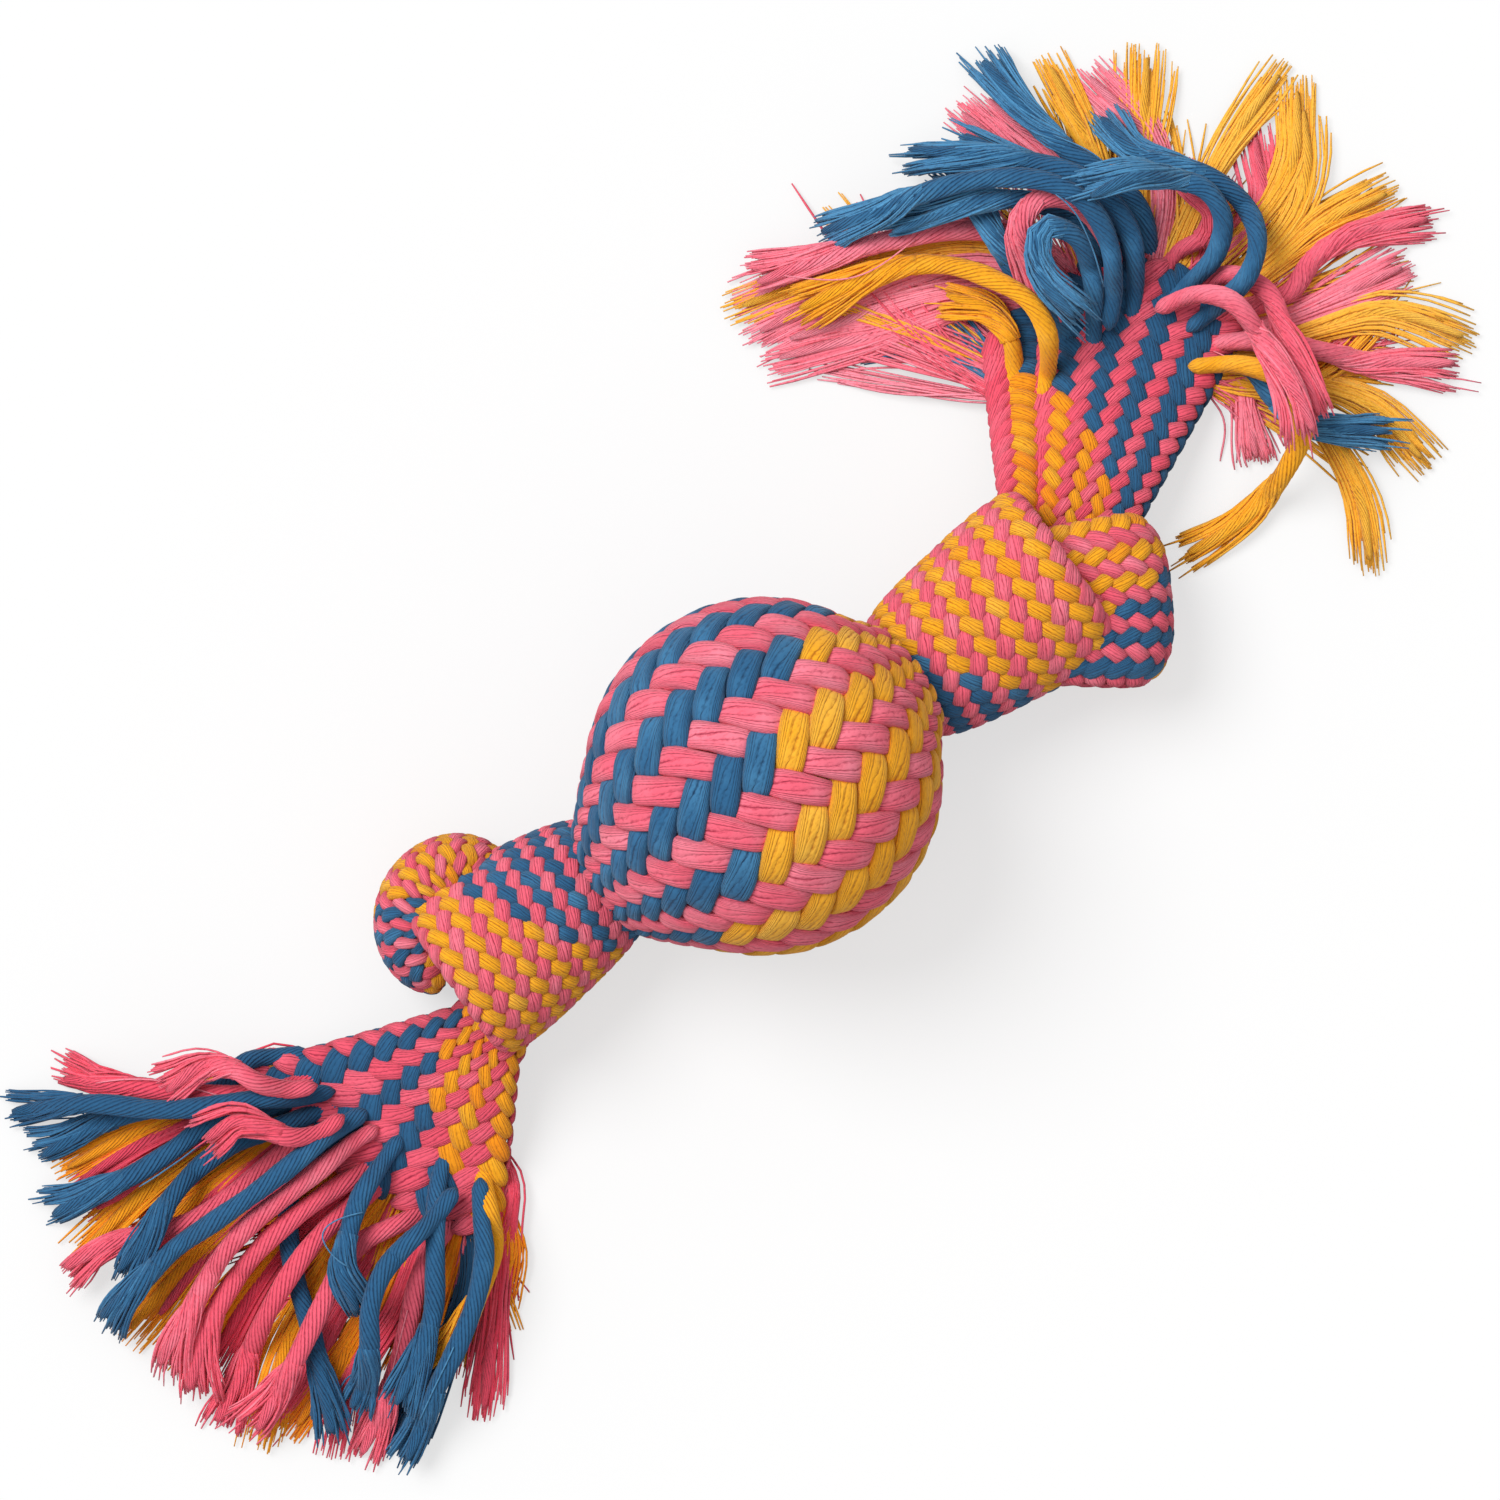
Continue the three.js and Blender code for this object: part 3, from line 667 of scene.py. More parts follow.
    def under_layer(self, wardrobe: Wardrobe, u: np.ndarray, v: np.ndarray, depth: float,
                    closed_u: bool = False, closed_v: bool = True) -> bpy.types.Object:
        """Makes the body of the braid below its strands, in the cotton coloured with painted shade.

        Args:
            wardrobe: the finishes.
            u: crossings along, one per ring.
            v: crossings round, one per side.
            depth: how far below the middle of the braid it lies, in strand thicknesses.
            closed_u: whether the rings run on into each other.
            closed_v: whether each ring closes round the braid, which is the usual case.

        Returns:
            The piece.
        """
        mesh = YarnMesh(self.name + "_inner")
        across, round_about = (u, v) if closed_v else (v, u)
        first, second = np.meshgrid(across, round_about, indexing="ij")
        at_u, at_v = (first, second) if closed_v else (second, first)
        point, out, _, _ = self.frame_at(at_u.ravel(), at_v.ravel())
        rings = (point - out * (depth * self.thickness)).reshape(*first.shape, 3)
        if not closed_v:
            rings = rings[:, ::-1]
        lines = np.tile(np.arange(len(round_about) + 1) * INNER_YARNS, (len(across), 1))
        mesh.add_grid(rings, np.arange(len(across)) * INNER_RING_MM, lines, self.inner_tint, closed=closed_u)
        return mesh.build(wardrobe.inner, "braid_cotton")


@dataclass
class BallCover:
    """The braided cover of the ball, in two halves that bend down into the knots on their sides.

    A nose is the cone towards a knot: the latitude in degrees where it leaves the ball, and the radius
    and the distance from the ball's middle of its end.
    """

    diameter: float = 71.5 * MM
    middle_height: float = 35.5 * MM
    strand_thickness: float = 2.7 * MM
    over_width: float = 1.07
    under_width: float = 0.9
    crossings_round: int = 48
    half_crossings: float = 15.0
    first_row_degrees: float = -10.5
    first_crossing: float = 0.3
    cell_pitch: float = 7.7 * MM
    pole_cell_pitch: float = 5.6 * MM
    pole_pitch_from: float = 30 * MM
    least_pitch: float = 0.75
    pole_drop_degrees: float = 17.0
    pole_drop_from: float = 10 * MM
    left_nose: tuple = (43.0, 8.5 * MM, 41 * MM)
    right_nose: tuple = (57.0, 8 * MM, 37.5 * MM)
    ball_points: int = 200
    nose_points: int = 80
    inner_depth: float = 0.8
    inner_rings: int = 30
    blend_from: float = 24 * MM
    blend_to: float = 40 * MM
    blend_drop: float = 0.8

    def meridian(self, latitude: float, nose_radius: float, nose_reach: float) -> tuple:
        """Measures the profile from the ball's middle out to the nose at the neck.

        Args:
            latitude: where the round of the ball ends and the nose begins, in degrees.
            nose_radius: radius of the nose's end.
            nose_reach: distance of the nose's end from the ball's middle.

        Returns:
            Places along the braid's axis, radii and crossings, as arrays that go together.
        """
        radius = self.diameter / 2 - self.strand_thickness
        edge = math.radians(latitude)
        angle = np.linspace(0, edge, self.ball_points)
        x, r = radius * np.sin(angle), radius * np.cos(angle)
        share = np.linspace(0, 1, self.nose_points)[1:]
        run_out, fall = nose_reach - x[-1], nose_radius - r[-1]
        # The nose leaves the sphere along its slope and soon runs straight, like a cone.
        bend = (-math.tan(edge) * run_out - fall) * share * (1 - share) ** 3
        x = np.append(x, x[-1] + run_out * share)
        r = np.append(r, r[-1] + fall * share + bend)
        length = flat_run(x, r)
        tightening = self.cell_pitch - self.pole_cell_pitch
        pitch = self.cell_pitch - tightening * (length / self.pole_pitch_from) ** 2
        pitch = np.maximum(pitch, self.least_pitch * self.pole_cell_pitch)
        crossings = np.concatenate([[0], np.cumsum(np.diff(length) * 2 / ((pitch[1:] + pitch[:-1]) / 2))])
        return x, r, crossings

    def surface(self) -> Callable:
        """Measures the cover's surface.

        Returns:
            A function from crossings along and round the cover to points.
        """
        left, right = self.meridian(*self.left_nose), self.meridian(*self.right_nose)
        x_at, r_at, crossings = (np.append(one[:0:-1] * sign, other)
                                 for one, other, sign in zip(left, right, (-1, 1, -1)))

        def place(u: np.ndarray, v: np.ndarray) -> np.ndarray:
            """Places points of the surface.

            Args:
                u: crossings along the braid.
                v: crossings round it.

            Returns:
                The points.
            """
            shifted = u - self.first_crossing
            x, r = np.interp(shifted, crossings, x_at), np.interp(shifted, crossings, r_at)
            around = np.radians((v - 0.5) * 360 / self.crossings_round + self.first_row_degrees)
            y, z = r * np.sin(around), r * np.cos(around)
            bent = smooth((np.abs(x) - self.pole_drop_from) / (x_at[-1] - self.pole_drop_from))
            drop = np.radians(self.pole_drop_degrees) * bent * np.sign(x)
            return np.stack([x * np.cos(drop) + z * np.sin(drop), y,
                             self.middle_height - x * np.sin(drop) + z * np.cos(drop)], 1)

        return place

    def build(self, wardrobe: Wardrobe) -> list:
        """Makes the cover's pieces, each half shaped to drop towards its knot.

        Args:
            wardrobe: the finishes.

        Returns:
            The pieces.
        """
        section = StrandSection(sides=40, plies=10, ply_depth=0.014, squareness=0.52, yarns=30)
        half = self.crossings_round // 2
        made = []
        for side, sign in (("left", -1), ("right", 1)):
            reach = sign * self.half_crossings
            braid = Braid("cover_" + side, self.surface(), self.strand_thickness, self.over_width,
                          self.under_width, section, step=0.2, twist=0.006)
            # The halves part where a strand dives under the others, so no cut shows.
            pieces = braid.weave(
                wardrobe, range(half), range(1 - half // 2, half // 2 + 1),
                lambda index: Dye.BLUE if index > 0 else Dye.YELLOW,
                lambda index, upper: sorted((1 + upper / 2 - 2 * (index % 2), reach)))
            pieces.append(braid.under_layer(
                wardrobe, np.linspace(*sorted((0, reach)), self.inner_rings),
                np.arange(0, self.crossings_round, 1.0), self.inner_depth))
            for piece in pieces:
                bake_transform(piece)
            made += pieces
        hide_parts("ball_cover")
        return made


@dataclass
class EndShape:
    """Sizes of one end of the toy, the same as the solids': its knot and its tail.

    Lengths are in millimetres and angles in degrees. Of a braid's blue strands it holds the number of
    the first one and how many there are. Of the tail's braid it holds
        tail_pitch: length of two crossings at the root, and how fast it grows outwards
        tail_swell: place round the sleeve where the strands are widest, how much wider, how far round
        tail_slant: place where the rows lean, by how much, how far round
        tail_valley: depth of a crease along its upper face, its place across, its width
    Of the tassel it holds the tints of its strands, which set how pale they are drawn and how much of the
    painted tone of shade and bounced glow they take, and its wisps of loose yarn.
    """

    name: str
    turn: float
    collar_start: float
    collar_end: float
    collar_root_half_width: float
    collar_half_width: float
    collar_shift: float
    fold_apex: tuple
    fold_from: float
    fold_to: float
    fold_root: float
    fold_reach: float
    fan_apex: tuple
    fan_from: float
    fan_to: float
    hinge_radius: float
    rim_radii: tuple
    collar_crossings: int
    collar_blue: tuple
    fold_crossings: int
    fold_blue: tuple
    tail_crossings: int
    tail_shift: float
    tail_pitch: tuple
    tail_swell: tuple
    tail_slant: tuple
    tail_valley: tuple
    tail_blue: tuple
    fray_length: float
    blue_fade: float
    upper_tint: float
    lower_tint: float
    yellow_lift: float
    seed: int
    wisp_spread: float
    wisps: tuple
    under_strands: list
    top_strands: list

    def turned(self, points: np.ndarray) -> np.ndarray:
        """Points of the knot turned to this end of the toy."""
        sign = 1 if self.turn == 0 else -1
        return points * np.array([sign, sign, 1])


@dataclass
class Knot:
    """An overhand knot: a collar of braid round the neck, and a wide fold of braid behind it."""

    end: EndShape
    height: float = 38 * MM
    band_thickness: float = 11 * MM
    floor_flat: float = 0.5 * MM
    fold_height: float = 29 * MM
    fold_taper: float = 0.75
    fold_corner: float = 0.36
    fold_pitch: float = 2.9 * MM
    fold_outline: float = 0.88
    strand_thickness: float = 2.3 * MM
    collar_width: float = 1.45
    fold_width: float = 1.4
    under_width: float = 0.95
    collar_length: int = 44
    inner_depth: float = 0.5
    inner_sides: int = 24

    def collar_surface(self) -> Callable:
        """Measures the collar's surface.

        Returns:
            A function from crossings round the neck and round the band's own section to points.
        """
        end = self.end
        middle = (end.collar_start + end.collar_end) / 2 * MM
        width = (end.collar_end - end.collar_start) * MM
        flare = (end.collar_half_width - end.collar_root_half_width) * MM
        across = end.collar_half_width * MM - (flare + self.band_thickness) / 2
        up = self.height / 2 - (flare + self.band_thickness) / 2
        inset = INSET * self.strand_thickness
        even = even_shares(width - inset, self.band_thickness - inset)
        centre = (self.height - self.floor_flat) / 2

        def place(u: np.ndarray, v: np.ndarray) -> np.ndarray:
            """Places points of the surface.

            Args:
                u: crossings round the neck.
                v: crossings round the band's section.

            Returns:
                The points.
            """
            angle = -math.pi / 2 - 2 * math.pi * u / self.collar_length
            share = even(v / end.collar_crossings)
            along, out = superellipse(share, width - inset, self.band_thickness - inset)
            outward = out + flare * along / width
            return end.turned(np.stack([
                middle + along, end.collar_shift * MM + np.cos(angle) * (across + outward),
                centre + np.sin(angle) * (up + outward)], 1))

        return place

    def fold_surface(self, rounds: int) -> Callable:
        """Measures the fold's surface.

        Args:
            rounds: crossings over the fold's edge and back below it.

        Returns:
            A function from crossings out over the edge and across the fold to points.
        """
        end = self.end
        inset = INSET * self.strand_thickness
        even = even_shares((end.fold_reach - end.fold_root) * MM - inset, self.fold_height - inset)

        def place(u: np.ndarray, v: np.ndarray) -> np.ndarray:
            """Places points of the surface.

            Args:
                u: crossings out over the edge and back below.
                v: crossings across the fold.

            Returns:
                The points.
            """
            across = v / end.fold_crossings
            angle = np.radians(end.fold_from + (end.fold_to - end.fold_from) * across)
            size = np.sqrt(1 - self.fold_taper * np.clip(2 * across - 1, -1, 1) ** 4)
            reach = end.fold_root + (end.fold_reach - end.fold_root) * (1 - self.fold_corner * (1 - size))
            out, up = superellipse(even(0.5 - u / rounds), 1.0, 1.0)
            out = out * ((reach - end.fold_root) * MM - inset)
            up = up * (self.fold_height * size - inset)
            middle = (end.fold_root + reach) / 2 * MM
            return end.turned(np.stack([
                end.fold_apex[0] * MM + np.cos(angle) * (middle + out),
                end.fold_apex[1] * MM + np.sin(angle) * (middle + out),
                self.fold_height / 2 - self.floor_flat + up], 1))

        return place

    def collar(self, wardrobe: Wardrobe, section: StrandSection) -> list:
        """Makes the collar's pieces.

        Args:
            wardrobe: the finishes.
            section: the strands' cross-section.

        Returns:
            The pieces, not riding on anything yet.
        """
        end, strands = self.end, range(self.end.collar_crossings // 2)
        braid = Braid(end.name + "_collar", self.collar_surface(), self.strand_thickness, self.collar_width,
                      self.under_width, section, step=0.38, open_ends=False, tint=-0.36, seed=3)
        made = braid.weave(wardrobe, strands, strands, blue_or_yellow(end.collar_blue, len(strands)),
                           lambda *_: (0, self.collar_length))
        made.append(braid.under_layer(
            wardrobe, np.arange(0, self.collar_length, 0.5), np.arange(0, end.collar_crossings, 1.0),
            self.inner_depth, closed_u=True))
        return made

    def fold(self, wardrobe: Wardrobe, section: StrandSection) -> list:
        """Makes the fold's pieces.

        Args:
            wardrobe: the finishes.
            section: the strands' cross-section.

        Returns:
            The pieces, not riding on anything yet.
        """
        end = self.end
        reach = (end.fold_reach - end.fold_root) * MM
        rounds = int(round(2 * (reach + self.fold_height) * self.fold_outline / self.fold_pitch / 2)) * 2
        braid = Braid(end.name + "_fold", self.fold_surface(rounds), self.strand_thickness, self.fold_width,
                      self.under_width, section, step=0.3, tint=-0.42, seed=4)
        made = braid.weave(wardrobe, range((rounds + end.fold_crossings) // 2 + 1),
                           range(-rounds // 2, end.fold_crossings // 2 + 1), blue_or_yellow(end.fold_blue),
                           lambda *_: (0, rounds), (0, end.fold_crossings))
        made.append(braid.under_layer(
            wardrobe, np.arange(0, rounds, 1.0), np.linspace(0, end.fold_crossings, self.inner_sides),
            self.inner_depth, closed_v=False))
        return made

    def build(self, wardrobe: Wardrobe) -> list:
        """Makes the knot's pieces.

        Args:
            wardrobe: the finishes.

        Returns:
            The pieces.
        """
        body = self.end.name + "_knot"
        section = StrandSection(sides=24, plies=8, ply_depth=0.03, squareness=0.62, yarns=26)
        made = self.collar(wardrobe, section) + self.fold(wardrobe, section)
        for piece in made:
            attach(piece, body)
        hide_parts(body)
        return made


@dataclass
class TailShape:
    """A tail's flat braided sleeve, the same as the solid's."""

    end: EndShape
    root_thickness: float = 10 * MM
    rim_thickness: float = 6.5 * MM
    root_height: float = 12.5 * MM

    @property
    def apex(self) -> np.ndarray:
        """The fan's apex, seen from above, in metres."""
        return np.array(self.end.fan_apex) * MM

    @property
    def middle(self) -> float:
        """Middle angle of the fan, in radians."""
        return math.radians((self.end.fan_from + self.end.fan_to) / 2)

    @property
    def half(self) -> float:
        """Half angle of the fan, in radians."""
        return math.radians((self.end.fan_to - self.end.fan_from) / 2)

    def level(self, share: np.ndarray) -> tuple:
        """Thickness and middle height at a share of the way from the hinge to the rim."""
        eased = smooth(share)
        return (self.root_thickness + (self.rim_thickness - self.root_thickness) * eased,
                self.root_height + (self.rim_thickness / 2 - self.root_height) * eased)

    def rim(self, share: np.ndarray) -> np.ndarray:
        """Radius of the rim at a share of the half angle, in metres."""
        low, middle, high = self.end.rim_radii
        return (middle + (high - low) / 2 * share + ((high + low) / 2 - middle) * share * share) * MM

    def top(self, x: np.ndarray, y: np.ndarray, reach: float) -> np.ndarray:
        """Height of the sleeve's upper face at points of the plan, or zero beside it.

        Args:
            x: places along the toy, in metres.
            y: places across it.
            reach: how far beyond the sleeve a strand is still carried.

        Returns:
            Heights in metres.
        """
        apex = self.apex
        radius = np.hypot(x - apex[0], y - apex[1])
        offset = np.arctan2(y - apex[1], x - apex[0]) - self.middle
        turn = np.arctan2(np.sin(offset), np.cos(offset))
        rim = self.rim(np.clip(turn / self.half, -1, 1))
        beyond = np.maximum.reduce([np.zeros_like(x), radius - rim, (np.abs(turn) - self.half) * radius])
        hinge = self.end.hinge_radius * MM
        thickness, middle = self.level(np.clip((radius - hinge) / (rim - hinge), 0, 1))
        edge = np.sqrt(np.clip(1 - (beyond / reach) ** 2, 0, 1))
        return np.where(beyond > reach, 0, middle + edge * thickness / 2)


@dataclass
class Tail:
    """A flat braided tail: a fan of braid from the knot out to the rim where its strands come free."""

    shape: TailShape
    strand_thickness: float = 2.1 * MM
    over_width: float = 1.3
    under_width: float = 0.95
    inner_depth: float = 0.4
    root_share: float = 0.8
    root_narrowing: float = 0.05
    bend_span: tuple = (-7 * MM, 11 * MM)
    run_on: float = 6 * MM
    furthest_share: float = 1.3
    valley_fade: float = 0.6

    def swelled(self, share: np.ndarray) -> np.ndarray:
        """Spreads shares of the way round, so that the strands near one place are wider.

        Args:
            share: even shares of the way round.

        Returns:
            The spread shares.
        """
        at, swell, reach = self.shape.end.tail_swell
        offset = (share - at + 0.5) % 1 - 0.5
        whole = share - offset
        spread = swell * reach * np.tanh(offset / reach)
        return whole + offset * (1 - 2 * swell * reach) + spread

    def surface(self) -> Callable:
        """Measures the sleeve's surface.

        Returns:
            A function from crossings out from the root and round the sleeve to points.
        """
        shape, end = self.shape, self.shape.end
        hinge = end.hinge_radius * MM
        root = hinge * math.sin(shape.half)
        start = hinge - self.root_share * root
        apex = shape.apex
        inset = INSET * self.strand_thickness
        span = (end.rim_radii[1] * MM) - hinge
        pitch, growth = end.tail_pitch
        even = even_shares(2 * (hinge + span / 2) * math.sin(shape.half), shape.root_thickness)
        slant_at, slant, slant_reach = end.tail_slant
        valley, valley_at, valley_width = end.tail_valley

        def place(u: np.ndarray, v: np.ndarray) -> np.ndarray:
            """Places points of the surface.

            Args:
                u: crossings out from the root.
                v: crossings round the sleeve.

            Returns:
                The points.
            """
            radius = start + pitch * MM / growth * (np.exp(growth * u / 2) - 1)
            way = 0.5 - (v + end.tail_shift) / end.tail_crossings
            beside = ((way - slant_at + 0.5) % 1 - 0.5) / slant_reach
            radius = radius + slant * MM * beside * np.exp(-beside ** 2)
            share = np.clip((radius - hinge) / span, 0, self.furthest_share)
            thickness, middle = shape.level(share)
            narrow = np.sqrt(np.clip(1 - ((hinge - radius) / root).clip(0, 1) ** 2, self.root_narrowing, 1))
            half_width = np.where(radius < hinge, root * narrow, radius * math.sin(shape.half))
            x, y = superellipse(even(self.swelled(way)), 2.0, 2.0)
            crease = (valley * MM * np.exp(-((x - valley_at) / valley_width) ** 2) * np.clip(y, 0, 1)
                      * (1 - self.valley_fade * share))
            across = x * (half_width - inset / 2)
            turn = np.arcsin(np.clip(across / radius, -1, 1))
            skew = (shape.rim(turn / shape.half) - hinge) / span
            reach = np.where(radius > hinge, hinge + (radius - hinge) * skew, radius)
            return np.stack([apex[0] + np.cos(shape.middle + turn) * reach,
                             apex[1] + np.sin(shape.middle + turn) * reach,
                             middle + y * (thickness - inset) / 2 - crease], 1)

        return place

    def build(self, wardrobe: Wardrobe) -> list:
        """Makes the sleeve's pieces.

        Args:
            wardrobe: the finishes.

        Returns:
            The pieces.
        """
        shape, end = self.shape, self.shape.end
        hinge = end.hinge_radius * MM
        # The last rows run on past the solid, and the tassel's strands leave the braid between them.
        length = ((end.rim_radii[1] * MM - hinge) + self.root_share * hinge * math.sin(shape.half)
                  + self.run_on)
        pitch, growth = end.tail_pitch
        total = 2 / growth * math.log(1 + length * growth / (pitch * MM)) + 1
        section = StrandSection(sides=24, plies=8, ply_depth=0.03, squareness=0.65, yarns=24)
        # The sleeve's tint mixes in a little of the painted tone of shade and bounced glow.
        braid = Braid(end.name + "_sleeve", self.surface(), self.strand_thickness, self.over_width,
                      self.under_width, section, step=0.25, tint=-0.7, seed=5)
        strands = range(end.tail_crossings // 2)
        made = braid.weave(wardrobe, strands, strands, blue_or_yellow(end.tail_blue, len(strands)),
                           lambda *_: (0, total))
        made.append(braid.under_layer(
            wardrobe, np.arange(0, total, 1.0), np.arange(0, end.tail_crossings, 1.0), self.inner_depth))
        for piece in made:
            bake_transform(piece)
        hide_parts(end.name + "_tail")
        return made


class Route:
    """A centripetal curve through points, with extrapolated ends."""

    def __init__(self, points: np.ndarray, divisions: int = 200) -> None:
        """Measures the curve.

        Args:
            points: the points that it passes through.
            divisions: how finely it is measured.
        """
        self.points = np.asarray(points, float)
        self.share = np.linspace(0, 1, divisions + 1)
        self.lengths = run(self.at(self.share))

    @property
    def length(self) -> float:
        """Length of the curve."""
        return float(self.lengths[-1])

    def at(self, share: np.ndarray) -> np.ndarray:
        """Places points of the curve.

        Args:
            share: shares of the curve's parameter.

        Returns:
            The points.
        """
        known = self.points
        last = len(known) - 1
        place = np.asarray(share) * last
        index = np.clip(np.floor(place).astype(int), 0, last - 1)
        weight = (place - index)[:, None]
        padded = np.vstack([2 * known[0] - known[1], known, 2 * known[-1] - known[-2]])
        a, b, c, d = (padded[index + shift] for shift in range(4))
        first, middle, third = (np.maximum(((p - q) ** 2).sum(1, keepdims=True) ** 0.25, 1e-6)
                                for p, q in ((a, b), (b, c), (c, d)))
        leave = ((b - a) / first - (c - a) / (first + middle) + (c - b) / middle) * middle
        arrive = ((c - b) / middle - (d - b) / (middle + third) + (d - c) / third) * middle
        return (b + leave * weight + (-3 * b + 3 * c - 2 * leave - arrive) * weight ** 2
                + (2 * b - 2 * c + leave + arrive) * weight ** 3)

    def spaced(self, count: int) -> np.ndarray:
        """Points that cut the curve into so many equal lengths."""
        wanted = np.linspace(0, self.length, count + 1)
        return self.at(np.interp(wanted, self.lengths, self.share))


@dataclass
class Tassel:
    """The loose strands of one end, laid one over another, with frayed tips and stray yarns.

    A pair of numbers is the range of a random draw, unless its comment says otherwise.
    """

    shape: TailShape
    diameter: float = 4.6 * MM
    root_share: float = 0.55
    root_taper: float = 16 * MM
    pile_gap: float = 0.6 * MM
    bend_radius: float = 12 * MM
    lay_spacing: float = 2 * MM
    seat_gap: float = 0.3 * MM
    # the shown strand, a little thinner than its solid: its rings, its root in the braid and its ends
    ring_spacing: float = 1.1 * MM
    tip_rings: int = 2
    heading_rings: int = 5
    show_width: float = 4.1 * MM
    show_height: float = 3.8 * MM
    show_root: float = 0.84
    lower_size: float = 0.8
    root_dip: float = 4.8 * MM
    root_held: float = 5 * MM
    root_rise: float = 10 * MM
    root_rounding: float = 2 * MM
    root_size: float = 0.04
    tip_size: float = 0.2
    floor_gap: float = 0.1 * MM
    least_thickness: float = 0.3 * MM
    unevenness: float = 0.05
    uneven_per_mm: float = 0.35
    ring_unevenness: float = 0.01
    twist_per_mm: float = -0.038
    tint_spread: float = 0.16
    yarn_radius: float = 0.22 * MM
    crowns: int = 89
    # the yarns of a loosened lower strand: side is the usual and the greatest share of half a width
    loose_yarns: int = 70
    loose_points: int = 14
    loose_spread: tuple = (0.5, 1.1)
    loose_side: tuple = (0.5, 1.2)
    loose_lift: tuple = (0.35, 1)
    loose_start: float = 0.04
    loose_reach: tuple = (0.9, 1.06)
    loose_waves: tuple = (4, 12)
    loose_sizes: tuple = (0.85, 1.3)
    loose_sag: float = 1.6 * MM
    # the yarns of a frayed tip, which sag and float over the floor by so many millimetres
    brush_yarns: int = 84
    brush_points: int = 9
    brush_most: float = 0.55
    brush_spread: tuple = (0.9, 1.7)
    brush_lean: float = 0.3
    brush_locks: int = 5
    brush_lock_pull: float = 0.45
    brush_reach: tuple = (0.9, 1.05)
    brush_odd_reach: tuple = (0.75, 1.22)
    brush_waves: tuple = (0.8, 2)
    brush_sizes: tuple = (0.8, 1.25)
    brush_sag: float = 4.0
    brush_float: float = 1.2
    tip_fade: float = 0.1
    # the usual sideways wave of both, and how many of their yarns and of a lock's have a usual length
    wave: float = 0.3 * MM
    usual_share: float = 0.85
    # single stray yarns along every third upper strand: bow, shift and rise are in millimetres
    stray_every: int = 3
    stray_start: tuple = (0.1, 0.6)
    stray_length: tuple = (0.25, 0.5)
    stray_least: int = 10
    stray_points: int = 18
    stray_bow: float = 2.8
    stray_shift: float = 1.2
    stray_rise: float = 1.2
    stray_size: float = 0.7
    stray_tint: float = 0.3
    # locks of loose yarn on the floor: where they start inside the rim, how high they lie and how
    # thickly they pile are in millimetres
    lock_yarns: int = 18
    lock_points: int = 12
    lock_widest: float = 0.84
    lock_start: tuple = (4, 9)
    lock_lengths: tuple = (0.75, 1.12)
    lock_heights: tuple = (0.2, 2.4)
    lock_spread: tuple = (1.3, 2.4)
    lock_reach: tuple = (0.88, 1.05)
    lock_odd_reach: tuple = (0.7, 1.2)
    lock_sizes: tuple = (0.8, 1.2)
    lock_pile: float = 1.8
    laid: Optional[np.ndarray] = None

    @property
    def brush_length(self) -> float:
        """Length of a strand's frayed tip."""
        return self.shape.end.fray_length * MM

    def radius(self, along: np.ndarray) -> np.ndarray:
        """Radius of a strand's solid at distances along it: the braid squeezes its root."""
        return self.diameter / 2 * (self.root_share + (1 - self.root_share) * smooth(along / self.root_taper))

    def lay(self, route: list, on_others: bool) -> np.ndarray:
        """Lays one strand on what carries it.

        Args:
            route: the strand's points seen from above, in millimetres.
            on_others: whether it lies on the sleeve and on the strands below, or on the floor.

        Returns:
            Its points with their radius, shaped (points, 4).
        """
        plan = Route(np.array([(x, y, 0) for x, y in route]) * MM)
        count = int(math.floor(plan.length / self.lay_spacing + 0.5))
        places = plan.spaced(count)
        along = np.arange(count + 1) * plan.length / count
        radius = self.radius(along)
        height = radius.copy()
        if on_others:
            top = self.shape.top(places[:, 0], places[:, 1], self.diameter / 2)
            height = np.maximum(height, top + radius + self.seat_gap)
            near = np.hypot(*(places[:, None, :2] - self.laid[None, :, :2]).transpose(2, 0, 1))
            reach = radius[:, None] + self.laid[None, :, 3] + self.pile_gap
            over = self.laid[None, :, 2] + np.sqrt(np.clip(reach ** 2 - near ** 2, 0, None))
            height = np.maximum(height, np.where(near < reach, over, 0).max(1))
        # Beside each high point the strand comes down no faster than its stiffness lets it bend.
        bridge = height[None] - (along[:, None] - along[None]) ** 2 / (2 * self.bend_radius)
        points = np.column_stack([places[:, :2], bridge.max(1), radius])
        self.laid = points if self.laid is None else np.vstack([self.laid, points])
        return points

    def dress(self, mesh: YarnMesh, brush: YarnMesh, points: np.ndarray, chance: np.random.Generator,
              fade: Optional[float] = None) -> np.ndarray:
        """Makes one strand of twisted yarns: an upper one with a frayed tip, or a loosened lower one.

        Args:
            mesh: where the strand goes.
            brush: where its single yarns go.
            points: the laid points with their radius.
            chance: the strand's own random draws.
            fade: how much paler an upper strand's tip is, or None for a lower strand.

        Returns:
            The strand's centre line.
        """
        route, end, upper = Route(points[:, :3]), self.shape.end, fade is not None
        count = int(route.length / self.ring_spacing)
        centre = route.spaced(count)
        ahead = (centre[-1] - centre[-2]) * np.arange(1, 1 + self.tip_rings)[:, None]
        centre = np.vstack([centre, centre[-1] + ahead])
        along = np.arange(len(centre)) * route.length / count
        if upper:
